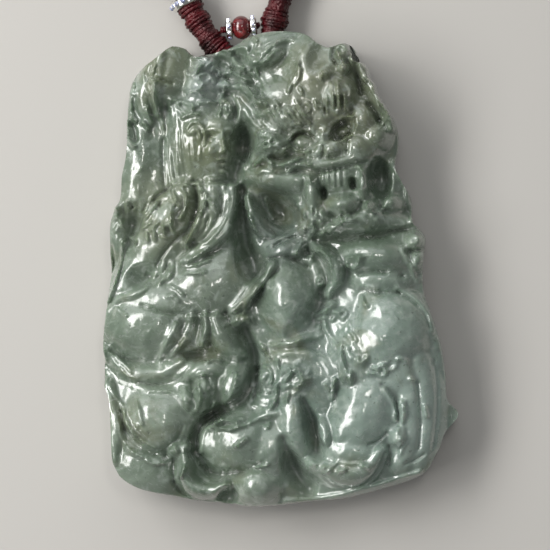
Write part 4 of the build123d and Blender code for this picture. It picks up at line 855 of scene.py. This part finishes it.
        [(-4.4, 24.7), (-3.0, 23.8), (-1.6, 24.4)], [(-5.0, 29.6), (-5.2, 26.0), (-5.6, 23.4)]]),
    ("base strip", 0.8, 5, [[(1.0, 1.8), (10.0, 2.6), (20.0, 5.2), (29.0, 7.9)]]),
]
brow_strands = 7
fine_lines.append(("brow strands", 0.45, 8, [
    [(-2.2 + 1.05 * k, 82.7 + 0.12 * k), (-0.8 + 1.0 * k, 80.9 + 0.1 * k), (0.7 + 0.95 * k, 79.4 + 0.1 * k)]
    for k in range(brow_strands)]))

# The figure's face, a plain calm one on the usual proportions: name, middle across, middle up,
# half width, half height, turn, how far it rises (or cuts in)
face_forms = [
    ("forehead", -12.7, 80.4, 3.2, 2.6, 0, 3),
    ("eye hollow, near", -14.2, 77.5, 1.6, 1.0, 0, -6),
    ("eye hollow, far", -10.3, 77.5, 1.0, 0.9, 0, -6),
    ("eyelid, near", -14.1, 77.2, 1.15, 0.6, 4, 5),
    ("eyelid, far", -10.4, 77.2, 0.75, 0.55, -4, 5),
    ("nose tip", -11.4, 74.6, 0.85, 0.8, 0, 7),
    ("nostril, near", -12.2, 74.3, 0.5, 0.5, 0, 3),
    ("nostril, far", -10.7, 74.3, 0.45, 0.5, 0, 3),
    ("cheek, near", -14.6, 74.6, 1.9, 1.7, 0, 3),
    ("cheek, far", -9.9, 74.6, 1.1, 1.6, 0, 3),
    ("lower lip", -11.5, 71.9, 0.95, 0.42, 0, 4),
    ("chin", -11.7, 70.3, 1.3, 0.9, 0, 4),
]
face_lines = [
    ("nose ridge", 0.65, 7, [[(-11.9, 78.6), (-11.7, 76.6), (-11.4, 74.8)]]),
    ("brows", 0.48, 3, [
        [(-15.8, 78.4), (-14.2, 79.2), (-12.6, 78.8)], [(-11.2, 78.8), (-10.2, 79.0), (-9.4, 78.4)]]),
    ("lid lines", 0.3, -4, [
        [(-15.2, 76.95), (-14.1, 76.6), (-13.0, 76.95)], [(-11.1, 76.95), (-10.4, 76.6), (-9.7, 76.95)]]),
    ("upper lip", 0.4, 4, [[(-12.7, 72.7), (-11.5, 72.9), (-10.4, 72.7)]]),
    ("mouth", 0.25, -5, [[(-12.8, 72.4), (-11.5, 72.35), (-10.3, 72.4)]]),
    ("under the lip", 0.3, -3, [[(-12.3, 71.2), (-11.5, 71.1), (-10.7, 71.2)]]),
]

# Places worked over with many small strokes: name, middle across, middle up, half width, half
# height, turn of the strokes in degrees, how many
hand_seed = 11
worked_places = [
    ("headdress", -16.4, 89.8, 3.2, 4.4, 30, 9),
    ("right of the headdress", -12.6, 87.6, 1.8, 3.6, -40, 8),
    ("mane", -8.4, 91.0, 4.0, 4.0, -35, 14),
    ("horn", -2.2, 95.0, 3.6, 1.8, 42, 7),
    ("brow", 1.4, 82.4, 4.6, 2.2, -55, 10),
    ("temple", -4.6, 84.0, 3.0, 2.0, -40, 7),
    ("cheek", -1.8, 76.2, 3.4, 2.8, 20, 14),
    ("muzzle", 5.6, 73.2, 3.4, 1.4, 10, 4),
    ("lip", -1.0, 71.8, 3.8, 1.0, 15, 6),
    ("beard", 7.0, 59.4, 4.4, 2.6, 65, 18),
    ("under the chin", 12.6, 60.6, 2.6, 1.4, 20, 6),
    ("between the small balls", 20.8, 61.6, 2.0, 1.4, 40, 6),
    ("right lock", 21.4, 83.2, 1.6, 3.6, -60, 8),
    ("fringe", 12.6, 85.0, 3.2, 3.4, 88, 8),
    ("sleeve", -23.4, 61.6, 3.4, 4.4, 58, 16),
    ("chest", -14.6, 63.6, 1.6, 3.4, 80, 6),
    ("tie", -24.4, 49.4, 2.6, 2.2, 50, 8),
    ("leaf", -33.8, 60.6, 1.2, 3.0, 70, 6),
    ("shoulder", 15.6, 51.4, 2.2, 1.4, 15, 7),
    ("haunch, middle", 15.6, 33.0, 2.2, 3.6, -58, 14),
    ("haunch, left", 13.4, 38.6, 1.6, 2.6, 75, 8),
    ("left of the haunch", 9.8, 41.0, 2.6, 1.6, 20, 8),
    ("under the haunch", 21.6, 29.4, 2.8, 1.4, 10, 8),
    ("swirl", 3.0, 28.0, 4.0, 3.2, 40, 18),
    ("wave rim", -13.2, 16.4, 1.6, 3.0, 60, 9),
    ("on the wave", -9.4, 18.0, 2.8, 1.2, 10, 6),
    ("scroll", -3.0, 24.8, 1.8, 3.8, 60, 8),
    ("leg", 14.0, 27.4, 1.0, 2.4, 84, 6),
    ("paw", 11.2, 9.0, 2.4, 1.4, 20, 8),
    ("tail", 25.4, 18.0, 1.6, 5.6, 84, 12),
    ("cuff", -8.6, 39.4, 2.0, 1.6, 20, 7),
    ("pleats", -22.4, 35.2, 2.0, 3.4, 60, 8),
    ("cloud", -30.6, 15.4, 1.8, 2.8, -60, 6),
    ("headdress, across", -16.4, 90.2, 3.0, 4.0, -20, 12),
    ("forehead curls", -18.6, 84.6, 3.2, 1.4, 10, 7),
]

# Nearly flat faces that the polishing left: name, middle across, middle up, half width, half height,
# turn in degrees. They lean to the window: rise across, its change across and up, the window's level.
flat_share = 0.85
window_lean, lean_change, window_level = 1.74, (0.0095, 0.0078), 44
flats = [
    ("haunch", 19.3, 35.5, 3.1, 1.9, -32),
    ("beast's thigh", 13.3, 17.8, 1.9, 4.4, -25),
    ("lobe on the tail", 24.0, 15.2, 1.2, 2.0, 4),
    ("upper window on the column", -29.7, 71.2, 1.4, 1.1, 4),
    ("lower window on the column", -30.3, 65.8, 1.2, 2.6, -8),
    ("folded knee", -33.4, 40.2, 1.3, 2.0, 34),
    ("cloud", -29.3, 20.2, 0.8, 1.9, 8),
    ("wave", -14.6, 14.4, 2.6, 3.4, -12),
    ("paw", -10.9, 26.4, 1.2, 2.5, -18),
    ("belly", -18.6, 47.8, 1.5, 1.2, -20),
    ("scroll", -3.2, 22.6, 2.3, 1.6, 28),
    ("ball", -6.2, 5.4, 1.2, 1.5, 0),
    ("raised knee", -2.4, 46.4, 0.9, 2.4, -20),
    ("knob at the right edge", 28.2, 56.4, 1.1, 1.0, 0),
]


def smooth_line(points):
    """Points on a smooth line through a few chart points."""
    p = np.array(points, float)
    p = np.vstack([2 * p[0] - p[1], p, 2 * p[-1] - p[-2]])
    line = []
    for a, b, c, d in zip(p[:-3], p[1:-2], p[2:-1], p[3:]):
        for t in np.arange(line_steps) / line_steps:
            bend = (2 * a - 5 * b + 4 * c - d) * t**2 + (3 * b - a - 3 * c + d) * t**3
            line.append((2 * b + (c - a) * t + bend) / 2)
    return np.array(line + [p[-2]])


def evenly(line, count):
    """The same line as count even steps."""
    length = np.concatenate([[0], np.cumsum(np.hypot(*np.diff(line, axis=0).T))])
    at = np.linspace(0, length[-1], count + 1)
    return np.column_stack([np.interp(at, length, line[:, k]) for k in (0, 1)])


def nearest(u, v, line):
    """How far each chart place is from a line, and how far along it the nearest point is, from 0 to 1."""
    far, share = np.full(u.shape, np.inf), np.zeros(u.shape)
    steps = np.diff(line, axis=0)
    lengths = np.hypot(*steps.T)
    starts = np.concatenate([[0], np.cumsum(lengths)])
    for (a, b), (du, dv), length, start in zip(line, steps, lengths, starts):
        t = np.clip(((u - a) * du + (v - b) * dv) / length**2, 0, 1)
        here = np.hypot(u - a - t * du, v - b - t * dv)
        share = np.where(here < far, (start + t * length) / starts[-1], share)
        far = np.minimum(here, far)
    return far, share


def near_line(u, v, points, reach):
    """The chart places within reach of a line's box, how far off they are and their share along it."""
    line = smooth_line(points)
    low, high = line.min(0) - reach, line.max(0) + reach
    near = (u > low[0]) & (u < high[0]) & (v > low[1]) & (v < high[1])
    return near, *nearest(u[near], v[near], line)


def oval_share(u, v, middle, half_sizes, turn):
    """0 in an oval's middle, 1 on its edge."""
    du, dv = u - middle[0], v - middle[1]
    c, s = np.cos(np.radians(turn)), np.sin(np.radians(turn))
    return np.hypot((du * c + dv * s) / half_sizes[0], (dv * c - du * s) / half_sizes[1])


def between(share, values):
    """A row's start, middle and end values, joined by one smooth curve."""
    start, middle, end = values
    rise = 1 - np.abs(2 * share - 1)
    rise = rise * rise * (3 - 2 * rise)
    return np.where(share < 0.5, start, end) * (1 - rise) + middle * rise


def blended(height, form, fillet):
    """The higher of two heights, with the crease between them filled."""
    close = np.clip(fillet - np.abs(height - form), 0, None) / fillet
    return np.maximum(height, form) + 0.25 * fillet * close**2


def cap(q):
    """A round cap's share of its rise at q: 0 is its middle, 1 its edge, and it goes on falling."""
    return 0.6 - 0.95 * q**2


def bump(q, power=1.5):
    """A rounded bump's share of its rise at q: 0 is its middle, and it ends at 1."""
    return (1 - np.clip(q, 0, 1) ** 2) ** power


def add_stroke(relief, u, v, points, width, rise):
    """A stroke of one half width, raised or cut along a few chart points."""
    near, far, _ = near_line(u, v, points, width)
    relief[near] += rise * bump(far / width)


def work_over(relief, u, v):
    """The small strokes of the worked places, each at a chance place, heading, size and rise."""
    hand = np.random.default_rng(hand_seed)
    for _, a, b, wide, high, turn, strokes in worked_places:
        for _ in range(strokes):
            round_it, out, bend = hand.uniform(0, 2 * pi), sqrt(hand.uniform(0, 1)), hand.uniform(-0.4, 0.4)
            heading = radians(turn + hand.uniform(-24, 24))
            reach, width, rise = hand.uniform(0.5, 1.4), hand.uniform(0.34, 0.55), hand.uniform(1.4, 3.4)
            middle = np.array([a + out * wide * cos(round_it), b + out * high * sin(round_it)])
            along, aside = np.array([cos(heading), sin(heading)]), np.array([-sin(heading), cos(heading)])
            points = [middle - reach * along, middle + bend * aside, middle + reach * along]
            add_stroke(relief, u, v, points, width, rise)


def carved_height(u, v):
    """The front's height in hundredths of the thickness, before it rolls over at the rim."""
    ground = np.full(u.shape, float(ground_height))
    for _, a, b, wide, high, turn, top, fall in masses:
        ground = blended(ground, top - fall * oval_share(u, v, (a, b), (wide, high), turn)**2.4, mass_fillet)
    relief = np.full(u.shape, lowest_relief)
    for _, a, b, wide, high, turn, rise in domes:
        relief = blended(relief, rise * cap(oval_share(u, v, (a, b), (wide, high), turn)), dome_fillet)
    for _, points, widths, rises in rolls:
        near, far, share = near_line(u, v, points, 1.8 * max(widths))
        form = between(share, rises) * cap(far / between(share, widths))
        relief[near] = blended(relief[near], form, roll_fillet)
    for _, a, b, wide, high, turn, depth in hollows:
        relief -= depth * bump(oval_share(u, v, (a, b), (wide, high), turn) / pit_reach)
    for _, points, widths, depths in valleys:
        near, far, share = near_line(u, v, points, 1.3 * max(widths))
        relief[near] -= between(share, depths) * bump(far / between(share, widths) / pit_reach)
    for _, points, widths, rises in ridges:
        near, far, share = near_line(u, v, points, 1.2 * max(widths))
        relief[near] += 0.5 * between(share, rises) * bump(far / between(share, widths) / ridge_reach)
    for _, a, b, wide, high, turn, rise in face_forms:
        relief += rise * bump(oval_share(u, v, (a, b), (wide, high), turn), 2)
    for _, width, rise, lines in fine_lines + face_lines:
        for points in lines:
            add_stroke(relief, u, v, points, width, rise)
    work_over(relief, u, v)
    return ground + relief


def flattened(height, u, v):
    """The heights with their nearly flat faces: each face leans to the window, on its left."""
    for _, a, b, wide, high, turn in flats:
        q = np.clip(oval_share(u, v, (a, b), (wide, high), turn), 0, 1)
        share = flat_share * (1 - q**4) ** 2
        middle = height.flat[np.argmin(np.hypot(u - a, v - b))]
        lean_across, lean_up = window_lean + lean_change[0] * a, lean_change[1] * (b - window_level)
        height = height + share * (middle + lean_across * (u - a) + lean_up * (v - b) - height)
    return height


def softened(height, passes):
    """The heights with their sharpest steps polished away."""
    for _ in range(passes):
        wide = np.pad(height, 1, mode="edge")
        height = (wide[:-2, 1:-1] + wide[2:, 1:-1] + wide[1:-1, :-2] + wide[1:-1, 2:] + 4 * height) / 8
    return height


def hand_wave(a, b):
    """How high or low hand polishing left the stone at a chart place, as a share of its waves."""
    slow = noise.noise((a / wave_length, b / wave_length, 4.0))
    return slow + 0.45 * noise.noise((2.1 * a / wave_length, 2.1 * b / wave_length, 9.0))


def filled_outline(columns, rows):
    """Chart places in rows and columns that fill the outline from edge to edge."""
    foot, top = evenly(smooth_line(foot_line), columns), evenly(smooth_line(top_line), columns)
    left, right = evenly(smooth_line(left_line_up), rows), evenly(smooth_line(right_line_up), rows)
    s = np.linspace(0, 1, columns + 1)[None, :, None]
    t = np.linspace(0, 1, rows + 1)[:, None, None]
    corners = (foot[0] * (1 - s) + foot[-1] * s) * (1 - t) + (top[0] * (1 - s) + top[-1] * s) * t
    return foot[None] * (1 - t) + top[None] * t + left[:, None] * (1 - s) + right[:, None] * s - corners


def edge_of(rows):
    """The grid's border, anticlockwise from its first corner."""
    return np.concatenate([rows[0, :-1], rows[:-1, -1], rows[-1, :0:-1], rows[:0:-1, 0]])


# The front: a grid inside the outline, carved, polished and rolled over at its rim
chart = filled_outline(grid_columns, grid_rows)
chart_u, chart_v = chart[..., 0], chart[..., 1]
low, high = edge_of(chart).min(0), edge_of(chart).max(0)
spread = (chart - (low + high) / 2) / (high - low) * np.array([slab_width, slab_height])
border = edge_of(spread)
carved = softened(flattened(carved_height(chart_u, chart_v), chart_u, chart_v), polish_passes)
carved += wave_height * np.array([[hand_wave(a, b) for a, b in line] for line in chart])
rim_far = nearest(spread[..., 0], spread[..., 1], np.vstack([border, border[:1]])[::3])[0]
rim = rim_height + (jade_thickness - rim_height) * np.sqrt(1 - (1 - np.clip(rim_far / rim_roll, 0, 1)) ** 2)
front_height = np.minimum(carved / carved.max() * jade_thickness, rim)
front_height[0], front_height[-1], front_height[:, 0], front_height[:, -1] = (rim_height,) * 4
# How far each place lies below its smoothed surroundings: the measure for the painted shade in the creases
# and hollows
hollow_shade_share = (softened(front_height, hollow_passes) - front_height) / jade_thickness

# The slab: the front, the walls down from its border, a small bevel and the flat back
front = np.dstack([spread, front_height]).reshape(-1, 3)
numbers = np.arange(len(front)).reshape(front_height.shape)
quads = np.dstack([numbers[:-1, :-1], numbers[:-1, 1:], numbers[1:, 1:], numbers[1:, :-1]]).reshape(-1, 4)
faces = quads.tolist()
along_edge = np.roll(border, -1, 0) - np.roll(border, 1, 0)
inward = np.column_stack([-along_edge[:, 1], along_edge[:, 0]]) / np.hypot(*along_edge.T)[:, None]
wall = [(0, 0.6 * rim_height), (0, back_bevel), (0.3 * back_bevel, 0.3 * back_bevel), (back_bevel, 0)]
loops, layers = [edge_of(numbers)], [front]
for step_in, level in wall:
    start = sum(len(layer) for layer in layers)
    layers.append(np.column_stack([border + inward * step_in, np.full(len(border), level)]))
    loops.append(np.arange(start, start + len(border)))
for upper, lower in zip(loops[:-1], loops[1:]):
    faces += np.column_stack([np.roll(upper, -1), upper, lower, np.roll(lower, -1)]).tolist()
faces.append(loops[-1][::-1].tolist())
jade_mesh = bpy.data.meshes.new("jade_carving")
jade_mesh.from_pydata(np.vstack(layers).tolist(), [], faces)
crease_shade = jade_mesh.attributes.new("crease_shade", "FLOAT", "POINT")
crease_shade.data.foreach_set("value", np.concatenate([
    hollow_shade_share.ravel(), np.zeros(len(jade_mesh.vertices) - hollow_shade_share.size)]).astype(np.float32))
jade = bpy.data.objects.new("jade_carving", jade_mesh)
scene.collection.objects.link(jade)

# The stone's finish: a high polish over cloudy grey-green stone that passes a little light, olive on
# the sleeve, the face, the fringe and the tall ridge, paler at the lower right, and paler on the
# headdress, partly as a painted sheen. Painted shade darkens the creases and hollows, the upper half
# and the middle fold.
jade_finish, nodes, shader = start_material(
    "polished_jadeite", (0.2, 0.26, 0.2), 0.3, IOR=1.66, Subsurface_Weight=0.25, Subsurface_Scale=0.0022,
    Subsurface_Radius=(0.8, 1.0, 0.7), Coat_Weight=1.0, Coat_Roughness=0.035, Coat_IOR=1.6)
place = add_node(nodes, "ShaderNodeTexCoord").outputs["Object"]


def noise_field(nodes, place, scale, detail, distortion=0.0):
    """A cloudy pattern on a piece, from 0 to 1."""
    field = add_node(nodes, "ShaderNodeTexNoise", {
        "Vector": place, "Scale": scale, "Detail": detail, "Distortion": distortion})
    return field.outputs["Fac"]


def eased(nodes, value, low, high, to_low=0.0, to_high=1.0):
    """A value brought smoothly from one range to another."""
    ramp = add_node(nodes, "ShaderNodeMapRange", {
        "Value": value, "From Min": low, "From Max": high, "To Min": to_low, "To Max": to_high},
        interpolation_type="SMOOTHSTEP")
    return ramp.outputs["Result"]


def mixed(nodes, amount, first, second):
    """Two colours mixed by a link's amount; each colour is a link or three numbers."""
    first, second = ((*colour, 1) if isinstance(colour, tuple) else colour for colour in (first, second))
    mix = add_node(nodes, "ShaderNodeMix", {"Factor": amount, 6: first, 7: second}, data_type="RGBA")
    return mix.outputs[2]


def near_place(nodes, place, middle, inner, outer):
    """1 round a place on the stone, easing to 0 further off."""
    distance = add_node(nodes, "ShaderNodeVectorMath", {0: place, 1: middle}, operation="DISTANCE")
    return eased(nodes, distance.outputs["Value"], inner, outer, 1.0, 0.0)


# Patches of colour, two of them painted shade and one partly a painted sheen: their place, where they are
# full, where they end, colour
patch_share = 0.65
colour = mixed(nodes, eased(nodes, noise_field(nodes, place, 95, 6, 0.8), 0.36, 0.62),
    (0.120, 0.165, 0.118), (0.210, 0.262, 0.205))
for middle, inner, outer, tint in (
    # painted shade: darker over the upper half, where less light falls from above
    ((0.000, 0.022, 0.012), 0.014, 0.034, (0.110, 0.150, 0.108)),
    ((0.013, -0.017, 0.012), 0.006, 0.024, (0.250, 0.330, 0.290)),
    # painted shade on the middle fold, which lies in shade
    ((0.0050, -0.017, 0.010), 0.003, 0.009, (0.105, 0.150, 0.122)),
    # the headdress paler: pale stone, and partly a painted sheen for its lit, silvery curls
    ((-0.0105, 0.027, 0.012), 0.002, 0.006, (0.300, 0.352, 0.335)),
    ((-0.0105, 0.017, 0.012), 0.001, 0.007, (0.150, 0.170, 0.085)),
    ((-0.016, 0.008, 0.012), 0.003, 0.010, (0.200, 0.225, 0.150)),
    ((0.008, 0.024, 0.014), 0.004, 0.012, (0.150, 0.160, 0.100)),
    ((-0.016, 0.029, 0.010), 0.002, 0.006, (0.145, 0.165, 0.090)),
    ((-0.010, -0.005, 0.010), 0.003, 0.010, (0.125, 0.158, 0.118)),
    ((0.019, -0.020, 0.010), 0.003, 0.011, (0.285, 0.360, 0.320)),
    ((0.000, 0.005, 0.010), 0.002, 0.007, (0.110, 0.140, 0.128)),
):
    share = near_place(nodes, place, middle, inner, outer)
    share = add_node(nodes, "ShaderNodeMath", {0: share, 1: patch_share}, operation="MULTIPLY").outputs[0]
    colour = mixed(nodes, share, colour, tint)

# Olive clouds, pale wisps, paler veins and dark specks: scale, detail, distortion, where the pattern
# starts and is full, its strength, colour
for scale, detail, distortion, first, full, strength, tint in (
    (150, 4, 0.5, 0.52, 0.70, 0.55, (0.150, 0.165, 0.095)),
    (330, 7, 1.6, 0.50, 0.72, 0.55, (0.34, 0.40, 0.345)),
    (700, 5, 2.2, 0.56, 0.70, 0.4, (0.42, 0.46, 0.42)),
    (1500, 2, 0.0, 0.66, 0.74, 0.6, (0.06, 0.08, 0.06)),
):
    pattern = eased(nodes, noise_field(nodes, place, scale, detail, distortion), first, full, 0.0, strength)
    colour = mixed(nodes, pattern, colour, tint)
# Painted shade: the colour darkens towards a dark green in the carving's creases and hollows, where shade
# falls.
depth = add_node(nodes, "ShaderNodeAttribute", attribute_name="crease_shade")
colour = mixed(nodes, eased(nodes, depth.outputs["Fac"], 0.0, 0.16, 0.0, 0.55), colour, (0.060, 0.074, 0.052))
ripple = add_node(nodes, "ShaderNodeBump", {
    "Height": noise_field(nodes, place, 900, 4), "Strength": 0.22, "Distance": 0.0003})
fill_in(shader, {
    "Base Color": colour, "Roughness": eased(nodes, noise_field(nodes, place, 300, 4), 0.3, 0.8, 0.22, 0.40),
    "Normal": ripple.outputs["Normal"], "Coat Normal": ripple.outputs["Normal"]})
jade_mesh.materials.append(jade_finish)

# The tunnel is drilled along the cord's own way through the top edge.
tunnel_points = [p for p in cord_points if (p - tunnel_middle).length < tunnel_reach]
drill_tree, given, result = start_tree("drilled_tunnel", [("Radius", "Float"), ("Stone", "Material")])
drill_line = add_node(drill_tree.nodes, "GeometryNodeMeshToCurve", {"Mesh": given["Geometry"]})
drilled = drawn_along(
    drill_tree, drill_line.outputs["Curve"], round_section(drill_tree, given["Radius"], drill_sides))
end_tree(drill_tree, drilled, given["Stone"], result)
drill = made_by(drill_tree, "tunnel_drill", tunnel_points, {"Radius": tunnel_radius, "Stone": jade_finish})
cut = jade.modifiers.new("tunnel", "BOOLEAN")
cut.object, cut.operation, cut.solver = drill, "DIFFERENCE", "EXACT"
cut_mesh = bpy.data.meshes.new_from_object(jade.evaluated_get(bpy.context.evaluated_depsgraph_get()))
jade.modifiers.clear()
jade.data = cut_mesh
bpy.data.objects.remove(drill)
cut_mesh.polygons.foreach_set("use_smooth", [True] * len(cut_mesh.polygons))
cut_mesh.set_sharp_from_angle(angle=radians(62))
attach(jade, "root")
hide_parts("jade_pendant")

# THE RINGS AND THE BEAD
# Small silver rings, each set with a row of crystals round its rim, are threaded on the two strands
# and at both ends of a dark red polished bead, which hangs between the strands on a tied thread.
silver_finish, nodes, shader = start_material("silver", (0.80, 0.79, 0.76), 0.16, Metallic=1.0)
place = add_node(nodes, "ShaderNodeTexCoord").outputs["Object"]
tarnish = eased(nodes, noise_field(nodes, place, 1800, 4), 0.45, 0.75)
fill_in(shader, {
    "Base Color": mixed(nodes, tarnish, (0.84, 0.83, 0.80), (0.52, 0.50, 0.46)),
    "Roughness": eased(nodes, tarnish, 0, 1, 0.10, 0.32)})

crystal_finish, nodes, shader = start_material(
    "crystal", (0.86, 0.90, 0.98), 0.03, Metallic=0.55, IOR=1.9, Coat_Weight=1.0, Coat_Roughness=0.02)
place = add_node(nodes, "ShaderNodeTexCoord").outputs["Object"]
# Painted reflections: random crystals take a bluish colour that stands in for the blue flashes of their fire
painted_fire = eased(nodes, noise_field(nodes, place, 1400, 1), 0.4, 0.6)
fill_in(shader, {"Base Color": mixed(nodes, painted_fire, (0.92, 0.93, 0.97), (0.48, 0.52, 0.78))})

bead_finish, nodes, shader = start_material(
    "red_bead", (0.2, 0.012, 0.014), 0.16, IOR=1.6, Coat_Weight=0.6, Coat_Roughness=0.03)
place = add_node(nodes, "ShaderNodeTexCoord").outputs["Object"]
veins = eased(nodes, noise_field(nodes, place, 520, 4, 1.5), 0.4, 0.7)
fill_in(shader, {"Base Color": mixed(nodes, veins, (0.085, 0.004, 0.006), (0.26, 0.026, 0.028))})

sleeve_finish, nodes, shader = start_material("sleeve", (0.075, 0.008, 0.012), 0.5)
place = add_node(nodes, "ShaderNodeTexCoord").outputs["Object"]
shades = noise_field(nodes, place, 600, 3)
grain = add_node(nodes, "ShaderNodeBump", {
    "Height": noise_field(nodes, place, 3000, 3), "Strength": 0.25, "Distance": 0.0001})
fill_in(shader, {
    "Base Color": mixed(nodes, shades, (0.06, 0.005, 0.009), (0.10, 0.012, 0.016)),
    "Normal": grain.outputs["Normal"]})

for node_name, slot_name, finish in (
    ("strand_ring_left", "silver", silver_finish), ("strand_ring_right", "silver", silver_finish),
    ("bead_ring_left", "silver", silver_finish), ("bead_ring_right", "silver", silver_finish),
    ("centre_bead", "bead", bead_finish), ("closing_sleeve", "sleeve", sleeve_finish),
):
    shape = bmesh.new()
    shape.from_mesh(bpy.data.objects[node_name].data)
    bmesh.ops.remove_doubles(shape, verts=shape.verts, dist=1e-6)
    smooth_mesh = bpy.data.meshes.new(node_name + "_polished")
    shape.to_mesh(smooth_mesh)
    shape.free()
    smooth_mesh.materials.clear()
    smooth_mesh.materials.append(finish)
    smooth_mesh.polygons.foreach_set("use_smooth", [True] * len(smooth_mesh.polygons))
    smooth_mesh.set_sharp_from_angle(angle=radians(35))
    polished = bpy.data.objects.new(node_name + "_polished", smooth_mesh)
    scene.collection.objects.link(polished)
    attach(polished, "root")
    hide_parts(node_name)

# The crystals: a tree sets a row of small stones on a circle, one row to each ring. A row is given
# by its radius, how many crystals it has and their size.
strand_ring_share = 0.43
strand_row = 0.00232, 14, 0.00050
bead_row = 0.00128, 9, 0.00038
bead_middle = Vector((-0.0057, 0.0348, 0.0036))
bead_axis = Vector((cos(radians(7)), sin(radians(7)), 0))
bead_ring_reach = 0.00175

crystal_tree, given, result = start_tree("crystal_row", [
    ("Row Radius", "Float"), ("Crystals", "Int"), ("Crystal Size", "Float"), ("Middle", "Vector"),
    ("Rotation", "Rotation"), ("Crystal", "Material"),
])
steps = crystal_tree.nodes
row = add_node(steps, "GeometryNodeMeshCircle", {
    "Vertices": given["Crystals"], "Radius": given["Row Radius"]})
stone = add_node(steps, "GeometryNodeMeshIcoSphere", {"Radius": given["Crystal Size"]})
set_stones = add_node(steps, "GeometryNodeInstanceOnPoints", {
    "Points": row.outputs["Mesh"], "Instance": stone.outputs["Mesh"]})
placed = add_node(steps, "GeometryNodeTransform", {
    "Geometry": set_stones.outputs["Instances"], "Translation": given["Middle"],
    "Rotation": given["Rotation"]})
end_tree(crystal_tree, placed.outputs["Geometry"], given["Crystal"], result)


def on_strand(first, second):
    """A strand ring's middle and axis, on the cord's run between two corners of its route."""
    start, end = Vector(cord_route[first]), Vector(cord_route[second])
    return start.lerp(end, strand_ring_share), end - start


def at_bead(side):
    """A bead ring's middle and axis, at one end of the bead."""
    return bead_middle + side * bead_axis * bead_ring_reach, bead_axis


for name, (middle, axis), (row_radius, crystals, size) in (
    ("strand_ring_left_crystals", on_strand(10, 9), strand_row),
    ("strand_ring_right_crystals", on_strand(13, 14), strand_row),
    ("bead_ring_left_crystals", at_bead(-1), bead_row),
    ("bead_ring_right_crystals", at_bead(1), bead_row),
):
    crystal_row = made_by(crystal_tree, name, [(0, 0, 0)], {
        "Row Radius": row_radius, "Crystals": crystals, "Crystal Size": size, "Middle": middle,
        "Rotation": axis.to_track_quat("Z", "Y").to_euler(), "Crystal": crystal_finish})
    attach(crystal_row, "root")

# The tied thread through the bead, wound by the cord's own tree
tie_left, tie_right = 0.0030, 0.0026
tie_points = [bead_middle - bead_axis * tie_left, bead_middle, bead_middle + bead_axis * tie_right]
bead_thread = made_by(winding_tree, "bead_thread_wound", tie_points, {
    "Winding Radius": 0.00034, "Thread Radius": 0.00018, "Turn Pitch": 0.00033,
    "Steps per Turn": steps_per_turn, "Unevenness": 0.0001, "Thread": winding_finish})
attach(bead_thread, "root")
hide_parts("bead_thread")
